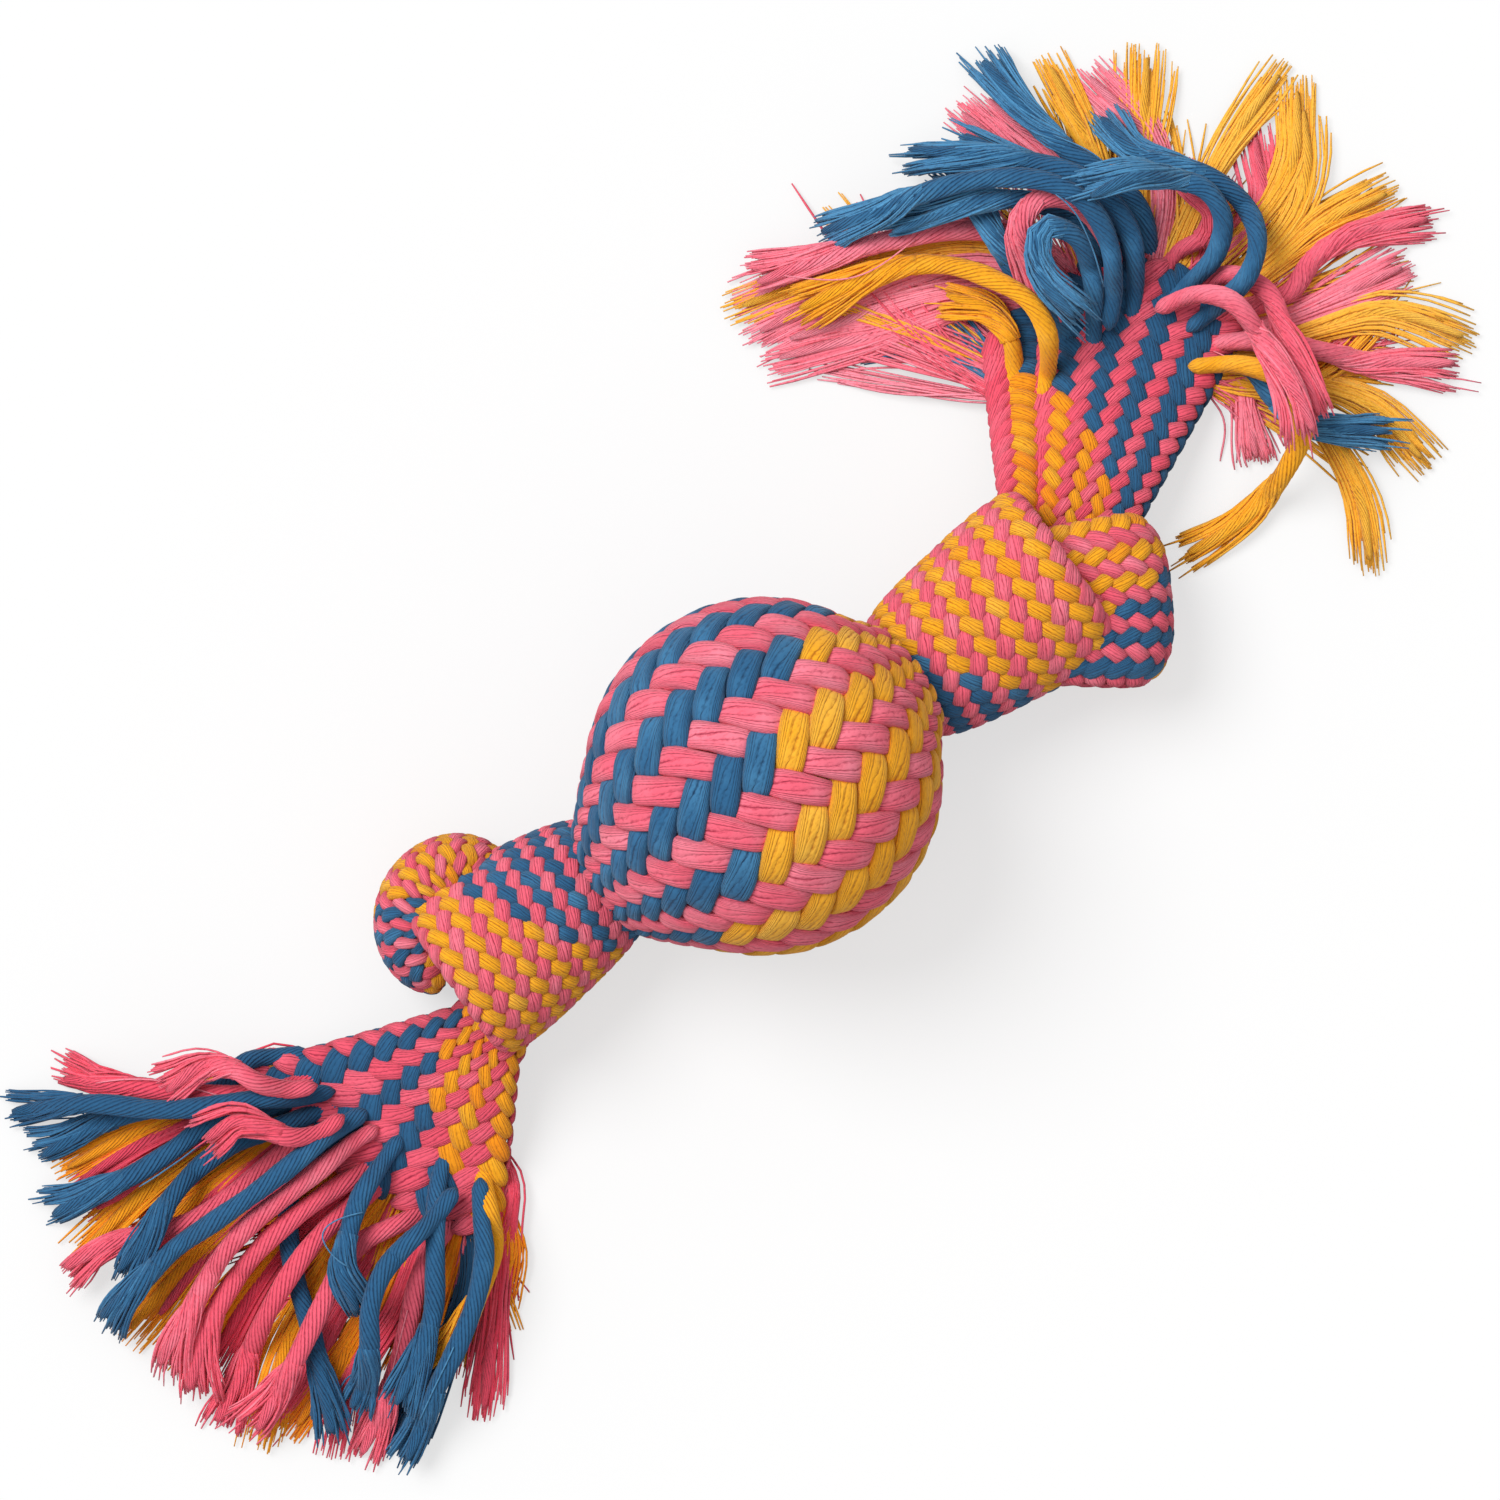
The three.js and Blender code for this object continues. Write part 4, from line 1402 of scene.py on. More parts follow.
            # Its root dips into the braid.
            centre[:, 2] -= self.root_dip * (1 - smooth((along - self.root_held) / self.root_rise))
            centre[:, 2] = np.maximum(centre[:, 2], self.show_height / 2)
        across, over = level_frame(centre)
        full = self.show_root + (1 - self.show_root) * smooth(along / self.root_taper)
        left = (along[-1] - along) / self.brush_length
        uneven = (1 + self.unevenness * np.sin(along / MM * self.uneven_per_mm + chance.uniform(*PHASES))
                  + chance.normal(0, self.ring_unevenness, len(along)))
        closing = self.tip_size + (1 - self.tip_size) * np.sqrt(np.clip(left, 0, 1))
        closing *= np.sqrt(np.clip(along / self.root_rounding, self.root_size, 1))
        wide = self.show_width / 2 * full * uneven * closing
        thick = self.show_height / 2 * full * (2 - uneven) * closing
        thick = np.minimum(thick, np.maximum(centre[:, 2] - self.floor_gap, self.least_thickness))
        # Real yarns lie 0.5 mm apart: these are drawn 0.8 mm apart, so that they show.
        section = StrandSection(sides=60, plies=15, ply_depth=0.055, squareness=0.97, yarns=15)
        tint = chance.normal(end.upper_tint if upper else end.lower_tint, self.tint_spread)
        if upper:
            section.tube(mesh, centre, across, over, wide, thick, self.twist_per_mm, tint)
            self.fray(brush, centre, across, over, tint + fade, chance)
        else:
            section.tube(mesh, centre, across, over, self.lower_size * wide, self.lower_size * thick,
                         self.twist_per_mm, tint)
            self.loosen(brush, centre, across, over, tint, chance)
        return centre

    def follow(self, centre: np.ndarray, across: np.ndarray, over: np.ndarray, place: np.ndarray,
               side: np.ndarray, rise: np.ndarray) -> np.ndarray:
        """Places a yarn beside a strand's centre line.

        Args:
            centre: the strand's centre line.
            across: direction of the width at each point.
            over: direction of the thickness at each point.
            place: where along the centre line each point of the yarn is, in points of that line.
            side: distance sideways of each point.
            rise: distance upwards of each point.

        Returns:
            The yarn's points. Beyond the tip they run straight on, level or falling.
        """
        last = len(centre) - 1
        index = np.arange(len(centre))
        inside = np.clip(place, 0, last)
        at, sideways, upwards = (np.stack([np.interp(inside, index, one[:, axis]) for axis in range(3)], 1)
                                 for one in (centre, across, over))
        heading = unit(centre[-1] - centre[-1 - self.heading_rings])
        heading[2] = min(heading[2], 0)
        at += heading * (np.clip(place - last, 0, None) * self.ring_spacing)[:, None]
        return at + sideways * side[:, None] + upwards * rise[:, None]

    def reach_of(self, chance: np.random.Generator, usual: tuple, odd: tuple) -> float:
        """Share of its usual length that a yarn has: most have about that, and a few don't."""
        return chance.uniform(*usual) if chance.uniform() < self.usual_share else chance.uniform(*odd)

    def loosen(self, brush: YarnMesh, centre: np.ndarray, across: np.ndarray, over: np.ndarray, tint: float,
               chance: np.random.Generator) -> None:
        """Adds the yarns of a lower strand, which has come untwisted and lies as a loose flat bundle.

        Args:
            brush: where the yarns go.
            centre: the strand's centre line.
            across: direction of the width at each point.
            over: direction of the thickness at each point.
            tint: how pale the strand is.
            chance: the strand's own random draws.
        """
        last = len(centre) - 1
        usual_side, most_side = self.loose_side
        spread = chance.uniform(*self.loose_spread)
        for _ in range(self.loose_yarns):
            side = max(-most_side, min(most_side, chance.normal(0, usual_side)))
            lift = chance.uniform(*self.loose_lift)
            steps = np.linspace(self.loose_start, chance.uniform(*self.loose_reach), self.loose_points)
            wave = (chance.normal(0, self.wave)
                    * np.sin(steps * chance.uniform(*self.loose_waves) + chance.uniform(*PHASES)))
            # The bundle is narrow at the braid, and from its middle on it spreads, sinks and sags.
            width = 0.5 + 0.5 * smooth(steps / 0.2) + spread * smooth((steps - 0.4) / 0.6) * 1.5
            level = self.show_height / 2 * lift * math.sqrt(1 - (side / 1.25) ** 2)
            fall = 1 - 0.6 * smooth((steps - 0.5) / 0.5)
            line = self.follow(centre, across, over, steps * last, side * self.show_width / 2 * width + wave,
                               level * fall)
            radius = self.yarn_radius * chance.uniform(*self.loose_sizes)
            line[:, 2] = np.maximum(line[:, 2] - self.loose_sag * smooth((steps - 0.6) / 0.5), radius)
            self.yarn(brush, line, radius, chance.normal(tint, 0.15))

    def fray(self, brush: YarnMesh, centre: np.ndarray, across: np.ndarray, over: np.ndarray, tint: float,
             chance: np.random.Generator) -> None:
        """Adds the yarns of a frayed tip, which untwist and spread like a flat paint brush.

        Args:
            brush: where the yarns go.
            centre: the strand's centre line.
            across: direction of the width at each point.
            over: direction of the thickness at each point.
            tint: how pale the tip is.
            chance: the strand's own random draws.
        """
        last = len(centre) - 1
        rings = min(self.brush_length / self.ring_spacing, self.brush_most * last)
        spread, lean = chance.uniform(*self.brush_spread), chance.normal(0, self.brush_lean)
        locks = chance.uniform(-1, 1, self.brush_locks)
        steps = np.linspace(0, 1, self.brush_points)
        untwist = ((1 - (1 - steps) ** 3) / 3 * rings * self.ring_spacing / MM * self.twist_per_mm
                   * 2 * math.pi)
        for _ in range(self.brush_yarns):
            angle, far = chance.uniform(0, 2 * math.pi) - untwist, math.sqrt(chance.uniform(0.2, 1))
            reach = self.reach_of(chance, self.brush_reach, self.brush_odd_reach)
            side, lift = np.cos(angle) * far, np.sin(angle) * far
            # Yarns gather into a few locks, and the whole brush leans to one side.
            lock = locks[np.argmin(np.abs(locks - side[-1]))]
            side = side + (lock - side) * self.brush_lock_pull * steps ** 2 + lean * steps ** 2
            grow = 1 + spread * steps ** 1.4
            sway = chance.normal(0, self.wave) * np.sin(steps * math.pi * chance.uniform(*self.brush_waves))
            line = self.follow(centre, across, over, last - rings + steps * reach * rings,
                               side * self.show_width / 2 * grow + sway,
                               lift * self.show_height / 2 * (0.97 - 0.5 * steps))
            radius = self.yarn_radius * chance.uniform(*self.brush_sizes)
            sag = np.where(steps > 0.4, (steps - 0.4) ** 2 * self.brush_sag * MM, 0)
            line[:, 2] = np.maximum(line[:, 2] - sag,
                                    radius + chance.uniform(0, self.brush_float) * MM * (1 - steps))
            self.yarn(brush, line, radius, chance.normal(tint, 0.16))

    def yarn(self, mesh: YarnMesh, line: np.ndarray, radius: float, tint: float) -> None:
        """Adds one thin yarn.

        Args:
            mesh: where the yarn goes.
            line: its points.
            radius: its radius, which narrows at the tip.
            tint: how pale it is.
        """
        across, over = level_frame(line)
        size = radius * np.append(np.ones(len(line) - 1), 0.6)[:, None, None]
        rings = line[:, None] + size * np.stack([across, over, -across, -over], 1)
        # One yarn has no grooves of its own, so its whole width lies near one crown of the pattern,
        # and its neighbours lie near others.
        crown = 0.1 + mesh.count % self.crowns
        mesh.add_grid(rings, run(line) / MM, np.full((len(line), 5), crown), tint)

    def stray(self, brush: YarnMesh, centre: np.ndarray, chance: np.random.Generator) -> None:
        """Adds a single yarn that has come loose and lies along a strand.

        Args:
            brush: where the yarn goes.
            centre: the strand's centre line.
            chance: the strand's own random draws.
        """
        first = int(chance.uniform(*self.stray_start) * len(centre))
        last = min(len(centre), first + int(chance.uniform(*self.stray_length) * len(centre)))
        if last - first < self.stray_least:
            return
        line = Route(centre[first:last]).spaced(self.stray_points)
        arch = np.sin(np.linspace(0, 1, len(line)) * math.pi)
        across, _ = level_frame(line)
        bow = arch * chance.normal(0, self.stray_bow) * MM
        line += across * (bow + chance.normal(0, self.stray_shift) * MM)[:, None]
        line[:, 2] += 0.5 * self.show_height + arch * chance.uniform(0, self.stray_rise) * MM
        self.yarn(brush, line, self.stray_size * self.yarn_radius, self.stray_tint)

    def lock(self, mesh: YarnMesh, heading: float, length: float, lift: float,
             chance: np.random.Generator) -> None:
        """Adds one lock of loose yarn, low over the floor between the strands.

        Args:
            mesh: where its yarns go.
            heading: the direction in which it lies, in radians.
            length: its usual length, in metres.
            lift: how much paler it is than a lower strand.
            chance: random draws.
        """
        shape, end, steps = self.shape, self.shape.end, np.linspace(0, 1, self.lock_points)
        turn = (heading - shape.middle) / end.wisp_spread + chance.normal(0, 0.05)
        turn = max(-self.lock_widest, min(self.lock_widest, turn / shape.half)) * shape.half
        start = shape.rim(turn / shape.half) - chance.uniform(*self.lock_start) * MM
        length *= chance.uniform(*self.lock_lengths)
        angle = heading + chance.normal(0, 0.1) + smooth(steps) * chance.normal(0, 0.45)
        ahead = np.stack([np.cos(angle), np.sin(angle), 0 * angle], 1)
        beside = np.stack([-np.sin(angle), np.cos(angle), 0 * angle], 1)
        root = np.array([shape.apex[0] + math.cos(shape.middle + turn) * start,
                         shape.apex[1] + math.sin(shape.middle + turn) * start, 0])
        height = (self.lock_heights[1] * MM * (1 - steps) ** 2
                  + chance.uniform(*self.lock_heights) * MM * np.sin(steps * math.pi))
        tint, spread = chance.normal(end.lower_tint + lift, 0.2), chance.uniform(*self.lock_spread)
        for _ in range(self.lock_yarns):
            stretch = self.reach_of(chance, self.lock_reach, self.lock_odd_reach)
            line = root + (np.cumsum(ahead, 0) - ahead[0]) * length * stretch / len(steps)
            side = chance.normal(0, 1) * (0.5 + 0.4 * smooth(steps * 4) + spread * steps ** 1.3) * MM
            wave = (chance.normal(0, 0.4) * MM
                    * np.sin(steps * chance.uniform(2, 7) + chance.uniform(*PHASES)))
            line += beside * (side + wave)[:, None]
            radius = self.yarn_radius * chance.uniform(*self.lock_sizes)
            line[:, 2] = radius + height + chance.uniform(0, self.lock_pile) * MM * (1 - 0.7 * steps)
            self.yarn(mesh, line, radius, chance.normal(tint, 0.14))

    def wisps(self, chance: np.random.Generator) -> dict:
        """Makes the locks of loose yarn that fill the tassel between its strands.

        Args:
            chance: random draws.

        Returns:
            The meshes of loose yarns by their dye, not built yet.
        """
        end = self.shape.end
        locks = by_dye(end.name + "_loose_yarns")
        for colour, low, high, amount, length in end.wisps:
            dye = Dye(colour)
            lift = end.yellow_lift if dye is Dye.YELLOW else 0
            for number in range(amount):
                heading = math.radians(low + (high - low) * (number + chance.uniform(0.1, 0.9)) / amount)
                self.lock(locks[dye], heading, length * MM, lift, chance)
        return locks

    def build(self, wardrobe: Wardrobe) -> list:
        """Makes the tassel: every upper strand is a cord of its own, and the lower ones belong to the tail.

        Args:
            wardrobe: the finishes.

        Returns:
            The pieces.
        """
        end = self.shape.end
        tail = end.name + "_tail"
        lower, brushes = by_dye(end.name + "_lower_strands"), by_dye(end.name + "_frayed")
        made = []
        for number, (colour, *route) in enumerate(end.under_strands):
            dye = Dye(colour)
            chance = np.random.default_rng(end.seed + number)
            self.dress(lower[dye], brushes[dye], self.lay(route, False), chance)
        for number, (colour, *route) in enumerate(end.top_strands, 1):
            dye = Dye(colour)
            chance = np.random.default_rng(end.seed + TOP_SEEDS + number)
            node = f"{end.name}_strand_{number:02d}"
            mesh = YarnMesh(node + "_cord")
            # Blue cotton shows best that the open yarns of a tip scatter more light.
            fade = end.blue_fade if dye is Dye.BLUE else self.tip_fade
            centre = self.dress(mesh, brushes[dye], self.lay(route, True), chance, fade)
            if number % self.stray_every == 0:
                self.stray(brushes[dye], centre, chance)
            cord = wardrobe.dress(mesh, dye)
            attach(cord, tail)
            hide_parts(node)
            made.append(cord)
        locks = self.wisps(np.random.default_rng(end.seed))
        for dye in Dye:
            for mesh in (lower[dye], brushes[dye], locks[dye]):
                if mesh.count:
                    piece = wardrobe.dress(mesh, dye)
                    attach(piece, tail)
                    made.append(piece)
        return made


@dataclass
class Studio:
    """A plain pale floor, soft light, and a camera straight above the toy, turned as the photograph is."""

    view_centre: tuple = (0.72 * MM, 5.81 * MM)
    view_width: float = 300 * MM
    focus_height: float = 20 * MM
    camera_distance: float = 2.2
    camera_reach: float = 20.0
    image_right_degrees: float = -35.0
    sensor: float = 36.0
    floor_half: float = 6.0
    room_light: float = 0.56
    window_light: float = 2.4
    window_degrees: float = 35.0
    window_place: tuple = (-0.35, 0.95, 1.35)

    def camera(self) -> None:
        """Makes the camera."""
        data = bpy.data.cameras.new("camera")
        data.sensor_width = self.sensor
        data.lens = self.sensor * self.camera_distance / self.view_width
        data.clip_end = self.camera_reach
        made = bpy.data.objects.new("camera", data)
        made.location = (*self.view_centre, self.focus_height + self.camera_distance)
        made.rotation_euler = (0, 0, math.radians(self.image_right_degrees))
        bpy.context.scene.collection.objects.link(made)
        bpy.context.scene.camera = made

    def floor(self) -> None:
        """Makes the floor, a wide sheet of paper."""
        mesh = bpy.data.meshes.new("floor")
        half = self.floor_half
        corners = [(-half, -half, 0), (half, -half, 0), (half, half, 0), (-half, half, 0)]
        mesh.from_pydata(corners, [], [(0, 1, 2, 3)])
        made = bpy.data.objects.new("floor", mesh)
        bpy.context.scene.collection.objects.link(made)
        mesh.materials.append(PaperFinish().material())

    def lights(self) -> None:
        """Makes the soft light: a pale room, white to the camera, and a wide window from the upper left."""
        world = bpy.data.worlds.new("room")
        world.use_nodes = True
        tree = world.node_tree
        rays = add_node(tree, "ShaderNodeLightPath")
        level = add_node(tree, "ShaderNodeMix",
                         {0: rays.outputs["Is Camera Ray"], 2: self.room_light, 3: 1.0})
        back = tree.nodes["Background"]
        back.inputs["Color"].default_value = (1, 1, 1, 1)
        tree.links.new(level.outputs[0], back.inputs["Strength"])
        bpy.context.scene.world = world
        data = bpy.data.lights.new("window", "SUN")
        data.angle = math.radians(self.window_degrees)
        data.energy = self.window_light
        lamp = bpy.data.objects.new("window", data)
        lamp.location = self.window_place
        lamp.rotation_euler = (Vector((0, 0, 0)) - lamp.location).to_track_quat("-Z", "Y").to_euler()
        bpy.context.scene.collection.objects.link(lamp)

    def build(self) -> None:
        """Makes the whole studio."""
        self.camera()
        self.floor()
        self.lights()
        bpy.context.scene.view_settings.view_transform = "Standard"


# The strands of each tassel as they lie, seen from above, in millimetres: colour, then the points of
# the route from the braid to the tip, in the order of laying.
LEFT_UNDER_STRANDS = [
    ("yellow", (-104, 3.5), (-122, 8.5), (-134, 11.5), (-146, 14), (-158, 15.5)),
    ("pink", (-103, 1.5), (-123, 5.5), (-136, 9.5), (-148, 11.5), (-157, 12)),
    ("yellow", (-102, -0.5), (-122, 2), (-137, 3), (-151, 2.5), (-165, 0.5)),
    ("pink", (-102, -1.5), (-122, 1.5), (-136, 5), (-147, 5), (-158, 5.5)),
    ("yellow", (-101, -4.5), (-119, -3), (-133, -3.5), (-144, -4.5), (-153, -3.5)),
    ("pink", (-101, -6.5), (-118, -4.5), (-130, -5), (-143, -6.5), (-154, -7.5)),
    ("yellow", (-101, -9.5), (-120, -9.5), (-135, -11.5), (-150, -13.5), (-166, -17.5)),
    ("pink", (-100, -11.5), (-120, -12), (-136, -13.5), (-150, -15.5), (-160, -18.5)),
    ("yellow", (-100, -15.5), (-118, -17.5), (-133, -20.5), (-148, -24.5), (-162, -28.5)),
    ("pink", (-99, -18.5), (-117, -20.5), (-130, -21.5), (-143, -25.5), (-156, -31.5)),
    ("yellow", (-99, -21.5), (-116, -26.5), (-130, -31.5), (-144, -38.5), (-157, -49.5)),
    ("pink", (-98, -23.5), (-116, -31.5), (-131, -38.5), (-145, -45.5), (-155, -48.5)),
    ("yellow", (-97, -26.5), (-113, -34.5), (-126, -42.5), (-139, -48.5), (-150, -52.5)),
    ("pink", (-96, -28.5), (-112, -38.5), (-124, -46.5), (-137, -51.5), (-146, -59.5)),
    ("yellow", (-94, -31.5), (-108, -43.5), (-119, -51.5), (-128, -57.5)),
    ("yellow", (-89, -32.5), (-93, -41.5), (-97, -48.5), (-104, -53.5)),
    ("pink", (-87, -30.5), (-89, -38.5), (-93, -43.5), (-99, -48.5), (-106, -51.5)),
    ("pink", (-103, 2.5), (-109, 5.5), (-114, 10.5), (-121, 10.5), (-130, 7.5), (-140, 6.5)),
    ("blue", (-97, -33.5), (-106, -48.5), (-113, -54.5), (-121, -58.5), (-129, -62.5), (-137, -67.5)),
    ("pink", (-92, -32.5), (-99, -48.5), (-105, -55.5), (-111, -62.5), (-118, -70.5)),
]
LEFT_TOP_STRANDS = [
    ("pink", (-106, -8.5), (-118, -6.5), (-128, -7), (-138, -8), (-147, -7), (-156, -4), (-163, -1.5),
     (-170, -0.5)),
    ("blue", (-107, 6.5), (-113, 10), (-118, 12.5), (-125, 11.5), (-133, 13), (-142, 17), (-151, 19.5),
     (-161, 20.5)),
    ("blue", (-107, -1.5), (-115, 0.5), (-123, 3.5), (-132, 6.5), (-141, 6.5), (-150, 7), (-158, 8.5),
     (-166, 9.5)),
    ("blue", (-106, -5.5), (-114, -3.5), (-122, -1.5), (-130, 0.5), (-139, 0.5), (-147, -1.5),
     (-154, -4.5), (-161, -6.5)),
    ("blue", (-103, -12.5), (-113, -11), (-121, -12.5), (-127, -15), (-131, -20.5), (-135, -28.5),
     (-138, -37.5), (-142, -47.5), (-146, -56.5)),
    ("pink", (-107, 1.5), (-114, 3.5), (-121, 6.5), (-128, 11.5), (-135, 17.5), (-142, 23.5), (-149, 29.5)),
    ("pink", (-101, -22.5), (-109, -23), (-117, -23.5), (-126, -24.5), (-134, -27), (-142, -30.5),
     (-150, -35), (-157, -39.5), (-163, -42.5)),
    ("pink", (-99, -29.5), (-106, -32.5), (-113, -31.5), (-120, -30.5), (-127, -32.5), (-134, -36.5),
     (-143, -41.5), (-151, -45.5), (-157, -48.5)),
    ("pink", (-96, -34.5), (-103, -37.5), (-110, -40), (-116, -44), (-122, -49.5), (-129, -55.5),
     (-136, -60.5), (-143, -64.5)),
    ("pink", (-103, -18), (-111, -19), (-119, -18.5), (-127, -18.5), (-136, -19.5), (-145, -22),
     (-153, -25.5), (-159, -29.5), (-164, -33.5)),
    ("pink", (-104, -13.5), (-110, -13), (-117, -13.5), (-126, -14), (-135, -14.5), (-144, -16.5),
     (-152, -20), (-159, -23.5), (-166, -26.5)),
    ("yellow", (-90, -27.5), (-93, -34.5), (-95.5, -40.5), (-99, -46.5), (-105, -51.5), (-113, -55.5),
     (-122, -58.5)),
    ("blue", (-107, -2.5), (-114, 1), (-121, 5.5), (-130, 10), (-138, 15), (-147, 22.5), (-154, 27),
     (-161, 30.5)),
    ("blue", (-104, -9.5), (-112, -9), (-121, -9.5), (-131, -10), (-142, -10), (-152, -10), (-161, -11.5),
     (-170, -12.5)),
    ("blue", (-101, -17.5), (-108, -20), (-115, -23), (-121, -27.5), (-126, -32.5), (-128, -39.5)),
    ("blue", (-96, -25.5), (-101, -30), (-106, -36.5), (-111, -43.5), (-116, -50), (-123, -55.5),
     (-131, -60)),
    ("blue", (-98, -32.5), (-106, -35), (-113, -36), (-120, -38), (-126, -42.5), (-130, -48),
     (-134, -52.5), (-139, -55.5)),
    ("blue", (-93, -33.5), (-97, -39.5), (-101, -46.5), (-107, -52.5), (-115, -58), (-125, -63.5),
     (-136, -70.5)),
    ("pink", (-108, -7.5), (-114, -7.5), (-119, -5), (-122, -0.5), (-126, 4), (-131, 4.5)),
    ("pink", (-109, 0.5), (-114, 3), (-118, 7.5), (-121, 13.5), (-126, 17), (-132, 17)),
]
RIGHT_UNDER_STRANDS = [
    ("pink", (104, 34.5), (101, 41.5), (95, 47.5), (88, 53.5), (79, 56.5), (70, 59.5), (61, 63.5),
     (53, 66.5)),
    ("pink", (104, 35.5), (102, 44.5), (96, 52.5), (87, 58.5), (77, 62.5), (67, 65.5), (57, 68.5)),
    ("pink", (106, 34.5), (105, 45.5), (100, 55.5), (91, 62.5), (80, 66.5), (69, 69.5), (59, 72.5),
     (53, 73.5)),
    ("yellow", (107, 35.5), (107, 46.5), (103, 56.5), (95, 64.5), (84, 69.5), (72, 73.5), (61, 77.5),
     (53, 79.5)),
    ("pink", (109, 34.5), (109, 46.5), (105, 58.5), (97, 66.5), (86, 71.5), (75, 74.5), (65, 77.5),
     (56, 79.5)),
    ("pink", (111, 33.5), (114, 45.5), (115, 56.5), (114, 67.5), (112, 76.5), (110, 84.5)),
    ("pink", (112, 33.5), (118, 46.5), (120, 58.5), (119, 70.5), (116, 83.5)),
    ("yellow", (113, 32.5), (120, 44.5), (124, 56.5), (127, 68.5), (129, 81.5)),
    ("yellow", (114, 31.5), (123, 43.5), (131, 54.5), (138, 63.5), (145, 72.5)),
    ("pink", (114, 30.5), (124, 40.5), (133, 49.5), (137, 60.5), (135, 75.5)),
    ("yellow", (116, 29.5), (127, 37.5), (138, 44.5), (150, 50.5), (164, 55.5)),
    ("pink", (116, 28.5), (128, 33.5), (140, 33.5), (149, 37.5), (154, 46.5)),
    ("yellow", (117, 27.5), (129, 31.5), (141, 33.5), (152, 36.5), (160, 41.5), (166, 49.5)),
    ("yellow", (117, 26.5), (130, 27.5), (142, 28.5), (153, 31.5), (160, 37.5), (165, 45.5)),
    ("yellow", (118, 25.5), (131, 24.5), (144, 25.5), (156, 26.5), (168, 24.5)),
    ("pink", (118, 23.5), (130, 18.5), (142, 14.5), (152, 12.5), (162, 10.5)),
    ("yellow", (118, 21.5), (131, 13.5), (144, 9.5), (155, 5.5), (161, -0.5), (165, -6.5)),
    ("yellow", (117, 19.5), (128, 8.5), (137, -0.5), (143, -9.5), (145, -21.5)),
    ("yellow", (117, 17.5), (127, 5.5), (132, -4.5), (132, -15.5), (130, -24.5), (126, -32.5)),
    ("pink", (117, 15.5), (124, 10.5), (122, 4.5), (119, -2.5)),
]
RIGHT_TOP_STRANDS = [
    ("blue", (118, 16.5), (124, 14.5), (127.5, 10.5), (127.5, 3.5), (129, -2.5), (134, -8.5), (141, -14)),
    ("pink", (119, 27.5), (128, 24), (136, 20.5), (143, 19), (150, 21.5), (158, 21.5), (165, 19),
     (172, 16)),
    ("pink", (118, 22.5), (128, 17), (136, 11), (142, 4.5), (147, -1), (153, -5.5), (160, -10.5)),
    ("yellow", (117, 18.5), (126, 12.5), (131, 4.5), (129, -4.5), (122, -9.5), (113, -12.5), (103, -13),
     (98, -12.5)),
    ("yellow", (84, 31.5), (88, 37.5), (91, 43.5), (91, 50.5), (87, 56.5)),
    ("pink", (104, 36.5), (106, 45.5), (105, 54.5), (101, 62.5), (93, 68.5), (84, 73), (75, 76.5),
     (66, 79.5), (58, 81.5)),
    ("blue", (98, 31.5), (101, 38.5), (101.5, 45.5), (99.5, 53.5), (100, 61.5), (101, 69.5), (98, 77.5)),
    ("blue", (114, 36.5), (120, 43.5), (122, 51.5), (121, 59.5), (117, 66.5), (112, 73.5), (108, 80.5)),
    ("blue", (109, 36.5), (114, 44.5), (115.5, 53.5), (112, 61.5), (105, 67.5), (96, 71.5), (86, 74)),
    ("pink", (120, 32.5), (128, 31), (135, 28.5), (138.5, 21.5), (137, 13.5), (135, 5.5), (133, -2.5)),
    ("pink", (111, 37.5), (117, 44.5), (118.5, 52.5), (116, 59.5), (110.5, 63), (105, 60.5), (102.5, 53.5),
     (101.5, 46.5)),
    ("blue", (119, 36.5), (124.5, 42.5), (127.5, 50.5), (125.5, 59.5), (122, 68.5), (120, 78.5),
     (119, 90.5)),
    ("yellow", (89, 29.5), (94, 34.5), (97.5, 40.5), (98, 47.5), (94.5, 55.5), (89.5, 62.5), (82.5, 67.5),
     (73, 70.5), (62, 72.5)),
    ("blue", (103, 31.5), (108, 38.5), (112, 45.5), (113, 52.5), (109, 57.5), (104.5, 54.5), (102.5, 48.5),
     (103, 41.5)),
    ("pink", (121, 35.5), (129, 38.5), (135, 38), (139, 41.5), (137, 48.5)),
    ("blue", (113, 32.5), (119, 39.5), (123, 48.5), (122.5, 57.5), (118.5, 65.5), (112, 73), (105, 79),
     (98, 85)),
    ("blue", (121, 24.5), (129, 25), (137, 26.5), (143, 31.5), (145, 38.5), (143, 46), (138, 53.5),
     (133, 60.5), (132, 67.5)),
    ("blue", (108, 33.5), (114, 40.5), (118, 48.5), (118.5, 56.5), (115, 64), (108.5, 70), (100.5, 74.5),
     (92, 77.5), (83, 79.5), (74, 82.5)),
    ("blue", (120, 30.5), (127, 32), (134, 33.5), (139.5, 38.5), (140, 45.5), (135, 51.5), (129, 55.5),
     (122, 57)),
    ("pink", (118, 31.5), (126, 29.5), (131, 24.5), (132, 16.5), (131.5, 8.5), (131, 0.5), (130, -4.5)),
]


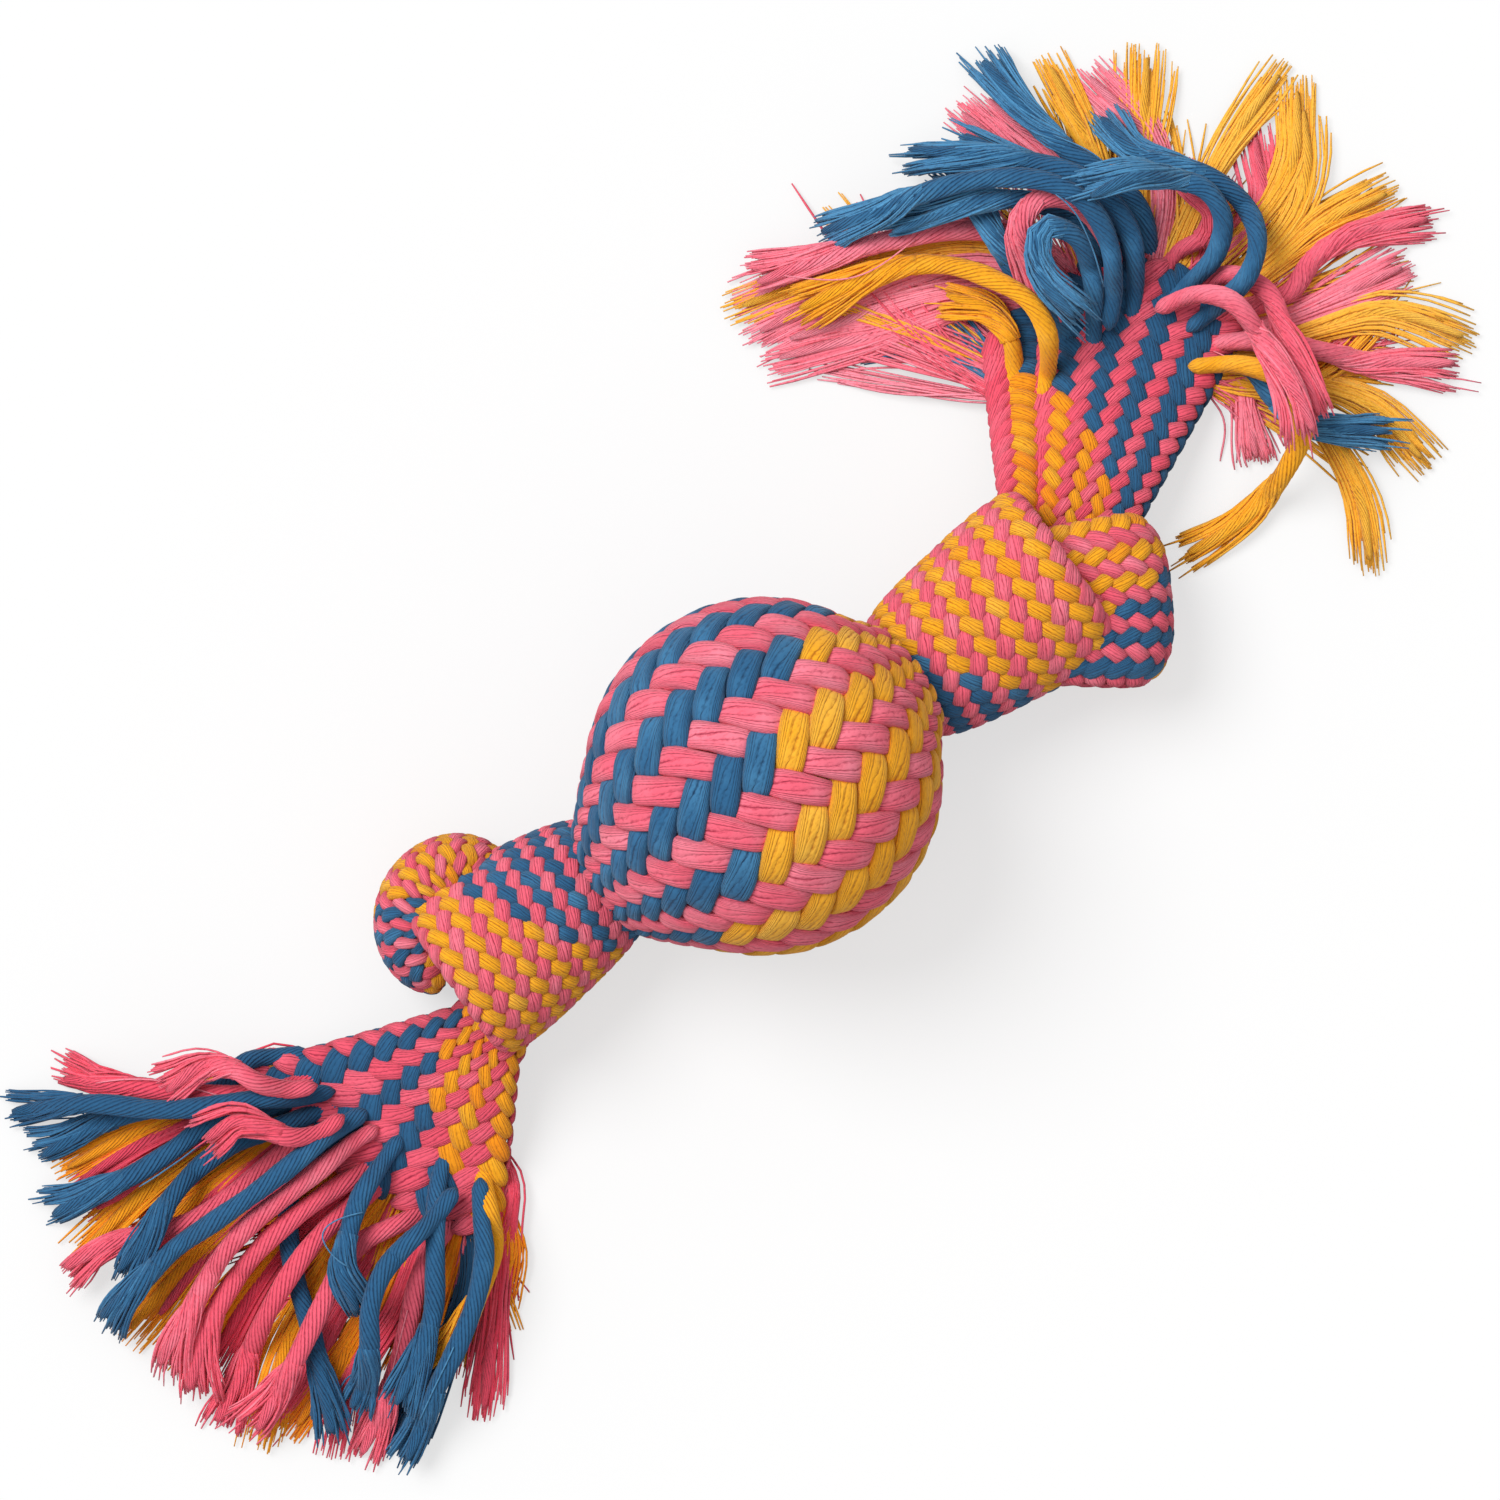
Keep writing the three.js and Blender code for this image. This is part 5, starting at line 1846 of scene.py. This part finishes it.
def ends() -> list:
    """The two ends of the toy, with the same sizes as the solids.

    A wisp is a fan of yarn locks: its dye, its first and last heading, how many locks, and their length.

    Returns:
        The left end and the right end.
    """
    left = EndShape(
        name="left", turn=180, collar_start=34, collar_end=75.5, collar_root_half_width=14.5,
        collar_half_width=21, collar_shift=-2, fold_apex=(66, -10.5), fold_from=-158, fold_to=35,
        fold_root=3, fold_reach=18.5, fan_apex=(-62, -7), fan_from=160, fan_to=230, hinge_radius=16,
        rim_radii=(52, 45, 45), collar_crossings=60, collar_blue=(-3, 15), fold_crossings=44,
        fold_blue=(8, 8), tail_crossings=40, tail_shift=0, tail_pitch=(3.4, 0.058),
        tail_swell=(0, 0, 1), tail_slant=(0, 0, 1), tail_valley=(0, 0, 1), tail_blue=(-10, 10),
        # Tints below minus a half give painted shade and bounced glow: the left tassel's lower strands take
        # most of it.
        fray_length=17, blue_fade=0.25, upper_tint=-0.6, lower_tint=-0.95, yellow_lift=0.45, seed=100,
        wisp_spread=1.15,
        wisps=(("yellow", 158, 190, 20, 52), ("pink", 170, 188, 6, 48), ("yellow", 190, 212, 12, 50),
               ("pink", 190, 216, 14, 46), ("blue", 208, 224, 4, 42), ("yellow", 212, 228, 8, 44),
               ("pink", 218, 236, 8, 40)),
        under_strands=LEFT_UNDER_STRANDS, top_strands=LEFT_TOP_STRANDS)
    right = EndShape(
        name="right", turn=0, collar_start=32, collar_end=75, collar_root_half_width=15.5,
        collar_half_width=21.5, collar_shift=-0.5, fold_apex=(-37.5, 55), fold_from=-37, fold_to=-23,
        fold_root=106, fold_reach=145, fan_apex=(46, -23.5), fan_from=25, fan_to=60.5, hinge_radius=44,
        rim_radii=(86, 92, 72), collar_crossings=52, collar_blue=(0, 10), fold_crossings=24,
        fold_blue=(-8, 7), tail_crossings=48, tail_shift=1.8, tail_pitch=(3.7, 0.012),
        tail_swell=(0.0467, 0.6, 0.055), tail_slant=(0.025, 3.8, 0.04), tail_valley=(2.8, 0.5, 0.17),
        tail_blue=(-16, 14), fray_length=25, blue_fade=0.65, upper_tint=-0.35, lower_tint=0.1,
        yellow_lift=0, seed=200, wisp_spread=5.0,
        wisps=(("pink", 113, 129, 9, 52), ("yellow", 120, 130, 2, 54), ("blue", 84, 106, 5, 34),
               ("pink", 64, 92, 8, 38), ("yellow", -50, 70, 34, 46), ("pink", 4, 28, 6, 42),
               ("pink", -30, -8, 6, 40), ("pink", -62, -48, 3, 28)),
        under_strands=RIGHT_UNDER_STRANDS, top_strands=RIGHT_TOP_STRANDS)
    return [left, right]


def main() -> None:
    """Builds the toy around the frame and reports each piece."""
    logging.basicConfig(level=logging.INFO, format="%(message)s")
    Studio().build()
    wardrobe = Wardrobe()
    shapes = ends()
    made = []
    for end in shapes:
        made += Tassel(TailShape(end)).build(wardrobe)
    for end in shapes:
        made += Tail(TailShape(end)).build(wardrobe)
        made += Knot(end).build(wardrobe)
    made += BallCover().build(wardrobe)
    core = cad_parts["core_ball"]
    core.data.materials.clear()
    core.data.materials.append(wardrobe.rubber)
    for piece in made:
        LOG.info("%s: %d faces", piece.name, len(piece.data.polygons))


if __name__ == "__main__":
    main()
